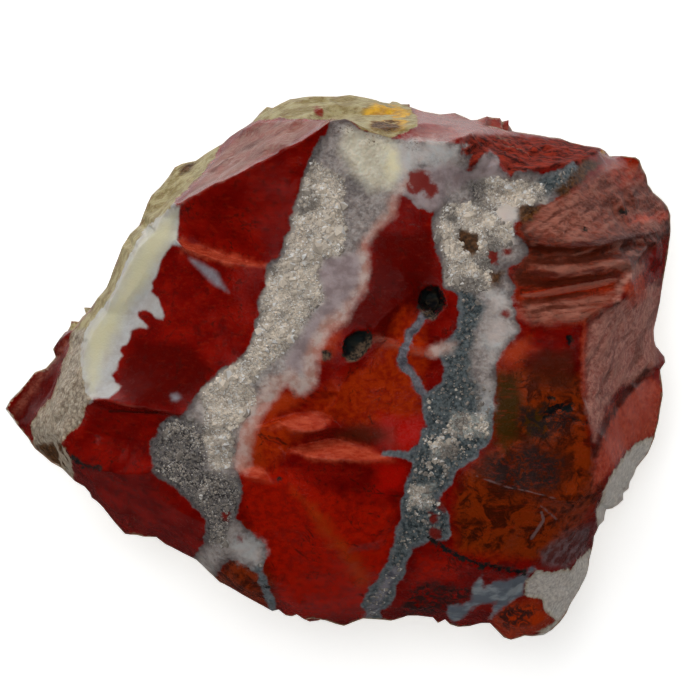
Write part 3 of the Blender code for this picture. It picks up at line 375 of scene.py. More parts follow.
        [(51.8, 22), (58.6, 23.6), (62.5, 25), (61.8, 26.4), (56, 25.6), (51.5, 25.2)],
        [(52, 27.8), (58, 28.2), (61.8, 27.4), (61, 29.2), (55.5, 29.8), (51.8, 29.6)],
        [(52, 24.2), (57, 24.4), (62, 24.2), (61.5, 25.2), (56, 25.2), (52, 25.6)],
        [(64, 37), (64.9, 37.8), (61.2, 41.8), (59.4, 46), (58.8, 44.4), (61, 40)],
    ],
    "rough": [
        [(45.5, 15), (47, 13.6), (50, 13.4), (56, 13.8), (60.5, 14.8), (57.5, 16.8), (55, 16.9),
         (51.2, 17.8), (50, 16.6), (49, 15.1), (47, 17)],
    ],
    "dendrites": [
        [(40.6, 59.4), (41.8, 58.2), (43.4, 58), (45, 58.2), (47, 58.8), (46.8, 60), (45, 61), (42.8, 61.7),
         (41, 61.6), (40.2, 60.6)],
        [(49.8, 61.2), (52, 60.2), (54, 61), (53, 62.6), (50.6, 63)],
        [(52, 40.6), (54.5, 40.4), (57.5, 41.2), (57, 43), (53.4, 43.8), (51.6, 42.4)],
        [(48.6, 45.4), (53, 44.8), (56, 46), (55.4, 48.6), (51, 49), (48.4, 47.4)],
    ],
    "umber": [
        [(48.4, 44.8), (56, 44.4), (57.4, 46.8), (55.5, 50), (50, 49.4), (47.2, 47.6)],
        [(52.6, 35.6), (57, 35), (57.4, 39), (53.2, 39)],
        [(33.5, 42.8), (39.5, 42.6), (39.5, 44.4), (36, 44.4), (33.4, 43.6)],
    ],
    "black": [
        [(41.8, 30.3), (42.1, 29.2), (42.7, 28.7), (43.8, 28.7), (44.4, 29.7), (44.6, 30.5), (43.8, 31.3),
         (43.4, 31.8), (42.8, 31.5), (42, 30.9)],
        [(34.3, 34.9), (34.6, 33.8), (35.5, 33.2), (36.8, 33.1), (37.2, 33.7), (36.8, 34.8), (36, 35.8),
         (35, 36), (34.4, 35.6)],
        [(54.2, 41.8), (54.5, 41), (55.3, 40.5), (57.2, 40.3), (57.6, 40.6), (56.8, 41.1), (56.7, 41.5),
         (56, 40.9), (54.6, 41.9)],
        [(56.5, 33.5), (57.2, 33.8), (57.2, 34.8), (56.6, 34.4)],
        [(26.4, 58.5), (27, 58.6), (27, 59), (26.5, 59)],
    ],
    # The rippled right side: its pinkish colour and a painted sheen
    "pink_and_sheen": [
        [(59, 32.2), (60.4, 31), (62.5, 30), (65.8, 28), (66, 33), (65.2, 37), (63.8, 38), (61.8, 38.6),
         (60.4, 40.6), (59.4, 44), (58.6, 41), (58.4, 36)],
    ],
    # Painted sheen on the steep striated facet at the upper left
    "sheen": [
        [(18.2, 20.4), (20, 19.2), (23.5, 17.5), (26.8, 15.6), (30, 14), (32.4, 12.3), (30, 11.9),
         (25.5, 12.4), (22.5, 14.8), (20, 17.9)],
    ],
}
# and as lines with a half-width
LINES = {
    "vein": [
        (SMALL_VEIN, 0.42),
        (THREAD, 0.42),
    ],
    "band": [
        ([(17.2, 20.8), (16, 21.4), (14.5, 22.8), (13.3, 24.3), (12.3, 26.3), (11.3, 28.8), (10.3, 30.3),
          (9.3, 31.6), (8.2, 32.9), (7.9, 34.5), (7.9, 36.5), (8.2, 38), (8.4, 39.3), (8.9, 39.8)], 0.6),
    ],
    "cool": [
        (SMALL_VEIN, 0.8),
        ([(26.2, 57), (26.5, 58.8), (27, 59.8), (27.4, 61.3)], 0.8),
        ([(54.5, 18.6), (56.5, 18), (58, 16.6)], 0.9),
    ],
    "salmon_and_highlight": [
        ([(58.4, 32.6), (58.2, 35.6), (58.4, 39.6)], 0.12),
        ([(63, 22), (66.6, 21.6)], 0.3),
    ],
    # Painted shade in the grooves under the ribs and on the right side
    "groove_shade": [
        ([(64.8, 37), (62.6, 39.4), (60.6, 42.2), (59.4, 45.4)], 0.2),
        ([(52.4, 24.6), (56, 24.9), (61, 24), (65, 23.4)], 0.22),
        ([(52.2, 28.2), (57, 28.6), (61.8, 27.6)], 0.22),
        ([(53, 27.2), (56, 27.6), (60, 27)], 0.1),
        ([(58.9, 32.2), (61.6, 30.4)], 0.1),
    ],
    "seam": [
        ([(47.5, 47.5), (50.5, 48.6), (53.2, 49.2), (55.5, 49.8)], 0.05),
        ([(54, 50.5), (55.6, 51.9)], 0.08),
        ([(54.1, 51.2), (54.3, 52), (53.1, 53.8)], 0.14),
        ([(40, 22.2), (42, 22.7)], 0.02),
    ],
    "milk": [
        ([(50.5, 21.3), (50.9, 21.3)], 0.9),
    ],
    "shade": [
        (THREAD, 0.5),
        (SMALL_VEIN, 0.3),
    ],
    "violet": [
        ([(64, 45), (62.5, 47), (61, 48.7), (60.5, 49.7)], 0.35),
    ],
    "haze": [
        ([(40.6, 18.4), (39.2, 19.9), (39, 21.4), (37.4, 22.9), (36.3, 24.6), (36.5, 26.6), (36.2, 28.6),
          (35.2, 30.2), (34.2, 31.6)], 0.35),
        ([(34.2, 31.6), (32.6, 32.8), (31.6, 34.6), (31, 36), (31, 38), (30, 38.8), (29, 37.6), (27.6, 38.4),
          (26.2, 40.2)], 0.65),
        ([(27.6, 38.4), (25.9, 40.6), (24.7, 43), (24.2, 46.4)], 0.75),
        ([(43.4, 35.1), (45, 34.6)], 0.5),
    ],
    "blue": [
        (SMALL_VEIN, 0.42),
        ([(36.8, 61.8), (38, 59.4), (39.6, 57)], 0.5),
    ],
    "dust_and_sheen": [
        ([(1.2, 41.6), (4, 37.6), (6.6, 34.4)], 0.3),
        ([(37.6, 33.9), (40.6, 35), (43.6, 35.3)], 0.3),
    ],
    "red_inclusion": [
        ([(50.5, 25.3), (50.8, 25.3)], 0.3),
        ([(50.3, 31.4), (50.5, 31.4)], 0.3),
    ],
    "black": [
        ([(57.1, 41.9), (58.5, 42.2)], 0.16),
        ([(54.7, 39.8), (55.3, 39.8)], 0.12),
        ([(32.6, 35.4), (32.7, 35.4)], 0.35),
        ([(27.9, 47.9), (28, 47.9)], 0.14),
        ([(62.2, 21.2), (62.5, 21.2)], 0.3),
        ([(58.2, 22.9), (58.3, 22.9)], 0.2),
        ([(7.3, 45.7), (8, 46.3), (8.8, 46.8), (10, 46.8)], 0.22),
        ([(43, 53.9), (44, 54.6), (45, 55.2), (46.8, 56), (48, 56.6), (49, 56.5), (51.2, 57), (52.5, 57.3)],
          0.22),
    ],
    "cracks": [
        ([(35, 47.8), (36, 48.5), (36.8, 49.1), (38, 49.3), (40, 49.6)], 0.07),
        ([(36, 51.1), (37.5, 51.4), (39.3, 52.3)], 0.06),
        ([(29.1, 54.5), (31, 56)], 0.05),
        ([(27, 43.7), (27.8, 43.8), (29, 44.7)], 0.1),
        ([(11, 41.15), (13, 41.1), (15.8, 41.2)], 0.1),
        ([(40, 22.2), (42, 22.7)], 0.05),
        ([(15.9, 21.6), (17.2, 20), (17.6, 19.4)], 0.07),
        ([(24, 48), (25.2, 52.2), (27.6, 57)], 0.04),
        ([(33.8, 38.6), (37.2, 35.4), (38.8, 33.8)], 0.04),
    ],
    "pink_and_sheen": [
        ([(61.6, 30.6), (62, 28.4), (64, 26.8)], 0.3),
    ],
}

# Zones that don't run on down the walls
SPOTS = ("rust", "brown", "red_inclusion", "murk", "lens", "milk", "specks", "smoke", "blue")


def near_to(x, y, points):
    """Which plan points are within reach of the box around an outline or a line."""
    low, high = np.min(points, 0) - REACH, np.max(points, 0) + REACH
    return np.nonzero((x > low[0]) & (x < high[0]) & (y > low[1]) & (y < high[1]))[0]


def squared_gap(px, py, x0, y0, x1, y1):
    """Squared distance of points to the straight piece between two ends."""
    dx, dy = x1 - x0, y1 - y0
    along = np.clip(((px - x0) * dx + (py - y0) * dy) / (dx * dx + dy * dy), 0, 1)
    return (px - x0 - along * dx) ** 2 + (py - y0 - along * dy) ** 2


def outline_distance(x, y, outline):
    """Distance of plan points to an outline, positive inside and no less than -REACH outside."""
    near = near_to(x, y, outline)
    px, py = x[near], y[near]
    best = np.full(len(near), REACH * REACH)
    within = np.zeros(len(near), bool)
    for (x0, y0), (x1, y1) in zip(outline, outline[1:] + outline[:1]):
        best = np.minimum(best, squared_gap(px, py, x0, y0, x1, y1))
        if y0 != y1:
            within ^= ((y0 > py) != (y1 > py)) & (px < x0 + (py - y0) / (y1 - y0) * (x1 - x0))
    far = np.sqrt(best)
    result = np.full(len(x), -REACH)
    result[near] = np.where(within, far, -far)
    return result


def line_distance(x, y, line, half_width):
    """The same for a line with a half-width."""
    near = near_to(x, y, line)
    best = np.full(len(near), REACH * REACH)
    for (x0, y0), (x1, y1) in zip(line, line[1:]):
        best = np.minimum(best, squared_gap(x[near], y[near], x0, y0, x1, y1))
    result = np.full(len(x), -REACH)
    result[near] = half_width - np.sqrt(best)
    return result


def zone_distance(x, y, name):
    """Distance into a zone made of outlines and lines."""
    parts = [outline_distance(x, y, outline) for outline in AREAS.get(name, [])]
    parts += [line_distance(x, y, line, half_width) for line, half_width in LINES.get(name, [])]
    return np.maximum.reduce(parts)


def ramp(value, low, high):
    """0 below low, 1 above high, smooth between."""
    t = np.clip((value - low) / (high - low), 0, 1)
    return t * t * (3 - 2 * t)


def noise_at(points, size, octaves=1):
    """Noise between about -1 and 1 at each of the points, with features of that size."""
    scaled = points * (1 / size)
    if octaves == 1:
        return np.array([noise.noise(Vector(p)) for p in scaled])
    return np.array([noise.fractal(Vector(p), 0.9, 2.1, octaves) for p in scaled])


def streaks_at(points, degrees, stretch, size, octaves):
    """Noise drawn out along a direction of the plan."""
    x, y, z = points.T
    cos, sin = math.cos(math.radians(degrees)), math.sin(math.radians(degrees))
    turned = np.c_[x * cos + y * sin, y * cos - x * sin, z]
    return noise_at(turned * stretch, size, octaves)


def cells_at(points, size):
    """Distance to the nearest of many scattered centres, as a share of their spacing."""
    return np.array([noise.voronoi(Vector(p))[0][0] for p in points / size])


class Skin:
    """A fine copy of the stone's surface as arrays, in plan units."""

    def __init__(self, node):
        source = bpy.data.objects[node]
        surface = bmesh.new()
        surface.from_mesh(source.data)
        surface.transform(source.matrix_world)
        bmesh.ops.remove_doubles(surface, verts=surface.verts[:], dist=1e-6)
        bmesh.ops.scale(surface, vec=(1 / UNIT,) * 3, verts=surface.verts[:])
        surface.normal_update()
        for edge in surface.edges:
            edge.smooth = edge.calc_face_angle(0.0) < CREASE_ANGLE
        self.refine(surface)
        self.read(surface)
        surface.free()

    @staticmethod
    def too_long(edge):
        """Whether an edge is longer than its part of the stone allows."""
        up = (edge.verts[0].normal.z + edge.verts[1].normal.z) / 2
        longest = FRONT_EDGE if up > 0.35 else WALL_EDGE if up > -0.1 else BACK_EDGE
        return edge.calc_length() > longest

    def refine(self, surface):
        """Halves long edges until all are short enough."""
        for _ in range(MOST_HALVINGS):
            surface.normal_update()
            long_edges = [edge for edge in surface.edges if self.too_long(edge)]
            if not long_edges:
                break
            bmesh.ops.subdivide_edges(surface, edges=long_edges, cuts=1)
            bmesh.ops.triangulate(surface, faces=surface.faces[:])

    def read(self, surface):
        """Takes over the points, triangles and edges."""
        surface.verts.index_update()
        self.co = np.array([v.co[:] for v in surface.verts])
        self.faces = np.array([[v.index for v in f.verts] for f in surface.faces])
        self.edges = np.array([[v.index for v in e.verts] for e in surface.edges])
        sharp = np.array([not e.smooth for e in surface.edges])
        self.crease = np.zeros(len(self.co), bool)
        self.crease[self.edges[sharp].ravel()] = True
        self.count = np.maximum(np.bincount(self.edges.ravel(), minlength=len(self.co)), 1)

    def around(self, values):
        """The mean of each point's neighbours' values."""
        a, b = self.edges.T
        size = len(self.co)
        columns = values.reshape(size, -1).T
        sums = [np.bincount(a, c[b], size) + np.bincount(b, c[a], size) for c in columns]
        return (np.array(sums) / self.count).T.reshape(values.shape)

    def normals(self):
        """Each point's normal."""
        p0, p1, p2 = (self.co[self.faces[:, i]] for i in range(3))
        cross = np.cross(p1 - p0, p2 - p0)
        total = np.zeros_like(self.co)
        for i in range(3):
            for axis in range(3):
                total[:, axis] += np.bincount(self.faces[:, i], cross[:, axis], len(self.co))
        return total / np.maximum(np.linalg.norm(total, axis=1), 1e-12)[:, None]

    def smooth(self, rounds, held):
        """Evens out all but the held points."""
        free = ~held
        for _ in range(rounds):
            self.co[free] += 0.5 * (self.around(self.co) - self.co)[free]

    def plan(self):
        """Plan x and y of each point."""
        return self.co[:, 0] + PLAN_CENTRE[0], PLAN_CENTRE[1] - self.co[:, 1]

    def edginess(self):
        """How far each point stands out of its neighbours, positive on edges."""
        bend = self.around(self.co) - self.co
        a, b = self.edges.T
        length = np.linalg.norm(self.co[a] - self.co[b], axis=1)
        size = len(self.co)
        spread = (np.bincount(a, length, size) + np.bincount(b, length, size)) / self.count
        out = -(bend * self.normals()).sum(1) / spread
        for _ in range(2):
            out = 0.5 * out + 0.5 * self.around(out)
        return out


def displaced(skin):
    """Adds the relief that the solid is too coarse for, and returns the zones' distances."""
    flat = skin.co[:, 2] < FLAT_SPOT
    skin.smooth(SMOOTH_ROUNDS, skin.crease | flat)
    normal = skin.normals()
    x, y = skin.plan()
    up = normal[:, 2]
    front = ramp(up, 0.0, 0.25)
    fields = {name: zone_distance(x, y, name) for name in {**AREAS, **LINES}}

    def over(outline, edge):
        """1 in an outline on the face, with an edge of that width."""
        return ramp(outline_distance(x, y, outline), 0.0, edge) * front

    rise = np.zeros(len(x))
    # Broad, shallow shell-like waves on every break, and fine unevenness
    for height, size in ((0.10, 4.5), (0.035, 1.6), (0.012, 0.6)):
        rise += height * noise_at(skin.co, size)
    # Streaks across the upper right: steep and fine above, long and level below them
    steep = streaks_at(skin.co, 34, (0.25, 2.0, 0.5), 1.0, 3)
    level = streaks_at(skin.co, 7, (0.16, 1.5, 0.5), 1.0, 3)
    above = ramp(-y + 0.4 * noise_at(skin.co, 2.0), -24.6, -23.2)
    streaks = 0.6 * above * steep + (1 - above) * level
    ribbed = over(RIBBED, 1.0)
    rise += ribbed * 0.13 * streaks
    # Ragged steps on the crumbly ledge at the top
    ledges = streaks_at(skin.co, 22, (0.42, 1.3, 0.8), 0.9, 4)
    crumbly = over(CRUMBLY, 0.8)
    rise += crumbly * 0.30 * ledges
    # Ripples on the right side, along its crest
    across = x * 0.9 + y * 0.45 + 0.4 * noise_at(skin.co, 2.5)
    ripples = noise_at(np.c_[(y * 0.9 - x * 0.45) * 0.22, across * 0.95, x * 0.0], 1.0, 3)
    rippled = over(RIPPLED, 0.9)
    rise += rippled * 0.16 * ripples
    # Striations along the upper left facet
    across = x * 0.5 + y * 0.86 + 0.25 * noise_at(skin.co, 2.0)
    striations = noise_at(np.c_[(x * 0.86 - y * 0.5) * 0.25, across * 2.2, x * 0.0], 1.0, 3)
    striated = over(STRIATED, 0.6)
    rise += striated * 0.05 * striations
    fields["crest"] = (
        1.5 * ribbed * streaks + 1.3 * crumbly * ledges + 1.5 * rippled * ripples
        + 0.8 * striated * striations
    )
    fields["satin"] = np.maximum.reduce([ribbed, rippled, striated]) * 4 - 2
    # Lumps in the veins, largest in the druse
    smooth_quartz = np.maximum.reduce(
        [ramp(fields[name], -0.5, 0.3) for name in ("milk", "band", "agate", "violet", "haze", "cream")]
    )
    vein = ramp(fields["vein"], -0.1, 0.3) * front * (1 - 0.85 * smooth_quartz)
    druse = ramp(fields["druse"], -0.4, 0.4) * front
    rise += vein * 0.10 * (0.5 - cells_at(skin.co, 0.5))
    rise += vein * 0.08 * noise_at(skin.co, 1.1)
    rise += druse * (0.30 * (0.5 - cells_at(skin.co, 1.3)) + 0.16 * noise_at(skin.co, 2.2))
    # Grit and lumps of the rind
    below = ramp(-up, 0.1, 0.5)
    rind = np.maximum(ramp(fields["rind"], -0.2, 0.4) * front, below)
    grit = np.maximum(ramp(fields["grit"], -0.2, 0.4) * front, 0.3 * below)
    rise += grit * 0.20 * (0.5 - cells_at(skin.co, 1.0))
    rise += rind * 0.08 * noise_at(skin.co, 1.5, 3)
    # Cracks and the rough floors of the pits
    black = fields["black"]
    rise -= 0.16 * ramp(black, -0.1, 0.15) * front * (up > 0.3)
    rise += ramp(black, 0.1, 0.4) * (0.30 * noise_at(skin.co, 0.8, 3) + 0.15)
    skin.co[~flat] += (normal * rise[:, None])[~flat]
    skin.co[:, 2] = np.maximum(skin.co[:, 2], 0.0)
    return fields


def linked(name, data):
    """An object with that data, in the scene."""
    obj = bpy.data.objects.new(name, data)
    bpy.context.scene.collection.objects.link(obj)
    return obj


def mesh_object(name, co, faces, fields, smooth):
    """A mesh object in metres from points in plan units, with named values at points or faces."""
    mesh = bpy.data.meshes.new(name)
    mesh.vertices.add(len(co))
    mesh.vertices.foreach_set("co", (co * UNIT).astype(np.float32).ravel())
    mesh.loops.add(faces.size)
    mesh.loops.foreach_set("vertex_index", faces.astype(np.int32).ravel())
    mesh.polygons.add(len(faces))
    starts = np.arange(0, faces.size, faces.shape[1], dtype=np.int32)
    mesh.polygons.foreach_set("loop_start", starts)
    mesh.update(calc_edges=True)
    mesh.validate()
    for key, values in fields.items():
        layer = mesh.attributes.new(key, "FLOAT", "POINT" if len(values) == len(co) else "FACE")
        layer.data.foreach_set("value", values.astype(np.float32))
    mesh.polygons.foreach_set("use_smooth", np.full(len(faces), smooth))
    return linked(name, mesh)


class Nodes:
    """Short names for the nodes of one material."""

    def __init__(self, name):
        self.material = bpy.data.materials.new(name)
        self.material.use_nodes = True
        self.tree = self.material.node_tree
        self.shader = self.tree.nodes["Principled BSDF"]
        self.place = self.tree.nodes.new("ShaderNodeTexCoord").outputs["Object"]

    def set(self, socket, value):
        """Links or sets an input."""
        if isinstance(value, bpy.types.NodeSocket):
            self.tree.links.new(value, socket)
        elif socket.type == "RGBA":
            socket.default_value = (*value, 1.0)
        else:
            socket.default_value = value

    def node(self, kind, inputs, **settings):
        """A new node with those settings and inputs."""
        node = self.tree.nodes.new("ShaderNode" + kind)
        for name, value in settings.items():
            setattr(node, name, value)
        for key, value in inputs.items():
            self.set(node.inputs[key], value)
        return node

    def look(self, **inputs):
        """Sets inputs of the shader."""
        for name, value in inputs.items():
            self.set(self.shader.inputs[name.replace("_", " ")], value)

    def field(self, name):
        """A named value of the mesh."""
        return self.node("Attribute", {}, attribute_name=name).outputs["Fac"]

    def math(self, kind, a, b=0.0, clamp=False):
        """One arithmetic step."""
        return self.node("Math", {0: a, 1: b}, operation=kind, use_clamp=clamp).outputs[0]

    def plus(self, a, b):
        """The sum of two values."""
        return self.math("ADD", a, b)

    def times(self, a, b):
        """The product of two values."""
        return self.math("MULTIPLY", a, b)

    def most(self, first, *others):
        """The largest of some values."""
        for other in others:
            first = self.math("MAXIMUM", first, other)
        return first

    def noise(self, size, detail=2.0, rough=0.5, drawn=None, warp=0.0):
        """Noise from 0 to 1 with features of that size, drawn out as a share and a turn tell."""
        place = self.place
        if drawn:
            share, turn = drawn
            inputs = {"Scale": (share, 1.0, 1.0), "Rotation": (0, 0, turn), "Vector": place}
            place = self.node("Mapping", inputs).outputs[0]
        return self.node("TexNoise", {
            "Scale": 1 / (size * UNIT), "Detail": detail, "Roughness": rough,
            "Distortion": warp, "Vector": place,
        }).outputs["Fac"]

    def cells(self, size):
        """Distance from the middles of scattered cells of that size."""
        inputs = {"Scale": 1 / (size * UNIT), "Vector": self.place}
        return self.node("TexVoronoi", inputs).outputs["Distance"]

    def ramp(self, value, low, high, to_low=0.0, to_high=1.0):
        """A smooth change of the value between two limits."""
        return self.node("MapRange", {
            "Value": value, "From Min": low, "From Max": high, "To Min": to_low, "To Max": to_high,
        }, interpolation_type="SMOOTHSTEP").outputs["Result"]

    def mix(self, share, a, b):
        """Mixes two colours."""
        return self.node("Mix", {0: share, 6: a, 7: b}, data_type="RGBA").outputs[2]

    def blend(self, share, a, b):
        """Mixes two numbers."""
        return self.node("Mix", {0: share, 2: a, 3: b}, data_type="FLOAT").outputs[0]

    def coats(self, colour, *coats):
        """A colour with coats over it, each one a share and a colour."""
        for share, top in coats:
            colour = self.mix(share, colour, top)
        return colour

    def bump(self, height, distance, strength, normal=None):
        """A normal tilted by a height."""
        inputs = {"Strength": strength, "Distance": distance, "Height": height}
        if normal is not None:
            inputs["Normal"] = normal
        return self.node("Bump", inputs).outputs["Normal"]


def stone_material():
    """Jasper, veins and rind in one material, told apart by the skin's named values."""
    n = Nodes("jasper_and_quartz")
    coarse = n.noise(2.2, 3.0)
    fine = n.noise(0.7, 3.0, 0.6)
    tiny = n.noise(0.22, 2.0, 0.6)
    wander = n.plus(n.noise(1.1, 4.0, 0.65), -0.5)
    drift = n.plus(n.noise(3.2, 5.0, 0.62, warp=0.6), -0.5)
    streaked = n.ramp(n.noise(0.5, 4.0, 0.7, (0.35, -0.3)), 0.35, 0.65)
    mottle = n.ramp(n.noise(0.42, 4.0, 0.7), 0.32, 0.68)
    cloud = n.ramp(n.noise(1.3, 4.0, 0.6), 0.35, 0.65)
    satin = n.ramp(n.field("satin"), -1.8, 1.6)

    def zone(name, low, high, share=1.0, stray=1.2, loose=0.0):
        """From 0 outside a zone to share inside, with an edge that strays as natural ones do."""
        total = n.plus(n.field(name), n.times(wander, stray))
        if loose:
            total = n.plus(total, n.times(drift, loose))
        return n.ramp(total, low, high, 0.0, share)

    def stain(name, low=-0.9, high=0.9, share=1.0):
        """The same for a stain in the jasper, and for patches of painted shade, whose edge strays far."""
        return zone(name, low, high, share, 1.5, 2.0)

    def veil(name, low, high, least, most):
        """The same for a streaky veil on the jasper, such as dust, a painted sheen and a painted highlight.
        """
        return n.times(zone(name, low, high), n.blend(streaked, least, most))

    # Jasper: its reds, their stains and dendrites, darker patches that are partly painted shade, then hairs
    # and old cracks
    dark_and_shaded = stain("dark_and_shaded", high=0.8)
    grained = n.ramp(fine, 0.4, 0.65)
    patchy = n.ramp(n.noise(1.6, 6.0, 0.68, warp=0.8), 0.42, 0.56)
    branches = n.ramp(n.noise(1.0, 6.0, 0.75, warp=1.5), 0.45, 0.51, 0.0, 0.9)
    hairs = n.ramp(n.noise(0.30, 3.0, 0.7, (0.22, -0.5)), 0.50, 0.78)
    crack = n.math("ABSOLUTE", n.plus(n.noise(3.4, 4.0, 0.6, warp=0.8), -0.5))
    crack = n.times(n.ramp(crack, 0.002, 0.012, 0.7, 0.0), n.ramp(coarse, 0.50, 0.58))
    jasper = n.coats(
        n.mix(n.ramp(coarse, 0.3, 0.7), (0.145, 0.0014, 0.0006), (0.255, 0.0046, 0.0014)),
        (dark_and_shaded, (0.090, 0.0016, 0.0006)),
        (n.ramp(fine, 0.50, 0.72, 0, 0.6), (0.060, 0.002, 0.001)),
        (zone("ribs", -0.6, 0.6),
         n.mix(n.ramp(fine, 0.4, 0.6), (0.060, 0.012, 0.006), (0.16, 0.020, 0.006))),
        (stain("glow"), n.mix(grained, (0.40, 0.008, 0.001), (0.27, 0.005, 0.001))),
        (stain("ember"), n.mix(grained, (0.40, 0.028, 0.002), (0.27, 0.010, 0.001))),
        (stain("russet"), n.mix(patchy, (0.060, 0.008, 0.002), (0.235, 0.026, 0.002))),
        (stain("vivid"), (0.44, 0.004, 0.001)),
        (stain("orange", -0.8), (0.40, 0.034, 0.004)),
        (stain("umber", share=0.75), (0.075, 0.012, 0.004)),
        (stain("olive", -0.8), (0.052, 0.022, 0.003)),
        (n.times(stain("dendrites", -0.5, 0.5), branches), (0.020, 0.013, 0.012)),
        (n.times(hairs, n.blend(dark_and_shaded, 0.42, 0.20)), (0.36, 0.022, 0.005)),
        (crack, (0.022, 0.006, 0.004)),
    )

    # Its relief: the crumbly ledge, veils of colour and of painted sheen, painted highlights on crests that
    # catch light, painted shade in sunk parts, cracks and seams
    ledge = zone("rough", -0.3, 0.4)
    pink_and_sheen_share = zone("pink_and_sheen", -0.5, 0.4)
    crest = n.field("crest")
    # Painted highlight on the high parts of the ribs, ripples and striations
    lit = n.times(n.ramp(crest, 0.02, 0.60, 0.0, 0.42), satin)
    # Painted shade in their low parts
    sunk_shade = n.times(n.ramp(crest, -0.60, -0.05, 0.78, 0.0), n.times(satin, n.blend(pink_and_sheen_share, 1.0, 0.55)))
    plum = n.mix(n.ramp(n.noise(1.0, 4.0, 0.6), 0.42, 0.62), (0.095, 0.030, 0.028), (0.17, 0.115, 0.120))
    colour = n.coats(
        jasper,
        (ledge, n.mix(streaked, (0.030, 0.003, 0.002), (0.30, 0.028, 0.012))),
        # Pinkish dusty veil, partly painted sheen
        (veil("dust_and_sheen", -0.5, 0.4, 0.10, 0.62), (0.34, 0.095, 0.060)),
        # Pinkish colour and painted sheen on the rippled right side
        (n.times(pink_and_sheen_share, n.blend(streaked, 0.30, 0.80)), (0.62, 0.270, 0.200)),
        # Painted sheen on the upper left facet
        (veil("sheen", -0.3, 0.4, 0.35, 0.80), (0.36, 0.225, 0.180)),
        # Painted highlight, pink, on the ribbed facets
        (veil("pink_highlight", -0.9, 0.9, 0.15, 0.65), (0.44, 0.165, 0.115)),
        # Salmon-pink colour, partly painted highlight
        (zone("salmon_and_highlight", -0.5, 0.4, 0.9, 1.5),
         n.mix(streaked, (0.38, 0.030, 0.010), (0.56, 0.085, 0.038))),
        # Painted shade in the grooves
        (zone("groove_shade", -0.35, 0.15, 0.85, 1.4), (0.060, 0.005, 0.002)),
        (lit, (0.42, 0.165, 0.115)),
        (sunk_shade, (0.085, 0.012, 0.004)),
        (zone("plum", -0.5, 0.5, 0.8), plum),
        (zone("cracks", -0.07, 0.05, 0.75, 0.25), (0.022, 0.006, 0.004)),
        (zone("seam", -0.08, 0.05, 0.75, 0.3), (0.20, 0.12, 0.115)),
    )

    # Veins: grey quartz with a dark rim, violet, druse, smoky and cream parts, and blue-grey ones
    depth = n.plus(n.field("vein"), n.times(wander, 1.6))
    cool = n.coats(
        n.mix(mottle, (0.095, 0.110, 0.122), (0.20, 0.215, 0.225)),
        (n.ramp(depth, 0.15, 0.70), n.mix(mottle, (0.028, 0.038, 0.043), (0.165, 0.190, 0.195))),
        (zone("sparkle", -0.4, 0.4), n.mix(mottle, (0.20, 0.21, 0.20), (0.50, 0.49, 0.44))),
    )
    quartz = n.coats(
        n.mix(cloud, (0.20, 0.165, 0.155), (0.40, 0.345, 0.32)),
        (n.ramp(mottle, 0.2, 1.0, 0, 0.45), (0.52, 0.48, 0.45)),
        (n.ramp(depth, 0.0, 1.0, 0.85, 0.0), (0.10, 0.075, 0.075)),
        (zone("violet", -0.6, 0.6), n.mix(cloud, (0.27, 0.205, 0.205), (0.41, 0.33, 0.33))),
        (zone("druse", -0.5, 0.6), n.mix(cloud, (0.42, 0.36, 0.31), (0.70, 0.61, 0.51))),
        (zone("shade", -0.6, 0.6), n.mix(mottle, (0.040, 0.035, 0.036), (0.21, 0.19, 0.185))),
        (zone("smoke", -0.7, 0.6, 0.7), n.mix(mottle, (0.050, 0.044, 0.046), (0.20, 0.175, 0.17))),
        (zone("cream", -0.9, 0.9), n.mix(cloud, (0.58, 0.52, 0.40), (0.74, 0.69, 0.56))),
        (zone("cool", -0.5, 0.5), cool),
    )

    # Chalcedony: milky, cream to bluish, with soft edges, and agate
    creamy = n.coats(
        n.mix(n.ramp(drift, -0.12, 0.12), (0.62, 0.53, 0.49), (0.59, 0.60, 0.59)),
        (n.ramp(cloud, 0.5, 1.0, 0, 0.35), (0.42, 0.39, 0.39)),
        (zone("cream", -0.6, 0.9), (0.84, 0.77, 0.52)),
    )
    banded = n.coats(
        n.mix(cloud, (0.42, 0.39, 0.37), (0.50, 0.50, 0.49)),
        (zone("cream", -0.5, 1.5), (0.58, 0.54, 0.36)),
    )
    streamers = n.ramp(n.noise(1.2, 4.0, 0.6, (0.5, 0.4)), 0.45, 0.60)
    vein = zone("vein", -0.12, 0.16, stray=1.0)
    milk = n.times(zone("milk", -1.0, 0.8, stray=2.8), n.blend(cloud, 0.92, 0.66))
    band = zone("band", -0.10, 0.22, stray=0.5)
    agate = zone("agate", -0.20, 0.25, stray=1.0)
    haze = zone("haze", -0.60, 0.45)

    # Rind: granular cream and grey, with brown specks
    grit = n.most(zone("grit", -0.3, 0.3), n.times(n.field("under"), 0.6))
    grains = n.ramp(n.plus(n.times(n.cells(0.5), 0.4), n.times(tiny, 0.7)), 0.35, 0.8)
    rind = n.coats(
        n.mix(n.ramp(cloud, 0.1, 0.9), (0.40, 0.34, 0.18), (0.26, 0.20, 0.085)),
        (n.ramp(n.noise(1.0, 5.0, 0.7), 0.54, 0.68, 0, 0.75), (0.17, 0.090, 0.035)),
        (n.ramp(tiny, 0.64, 0.74, 0, 0.7), (0.14, 0.08, 0.04)),
        (grit, n.mix(grains, (0.46, 0.39, 0.30), (0.19, 0.14, 0.10))),
        (zone("corner", -0.5, 0.5), n.mix(mottle, (0.38, 0.34, 0.31), (0.66, 0.61, 0.55))),
    )
    crust = n.most(zone("rind", -0.08, 0.12, stray=1.0), n.field("under"))

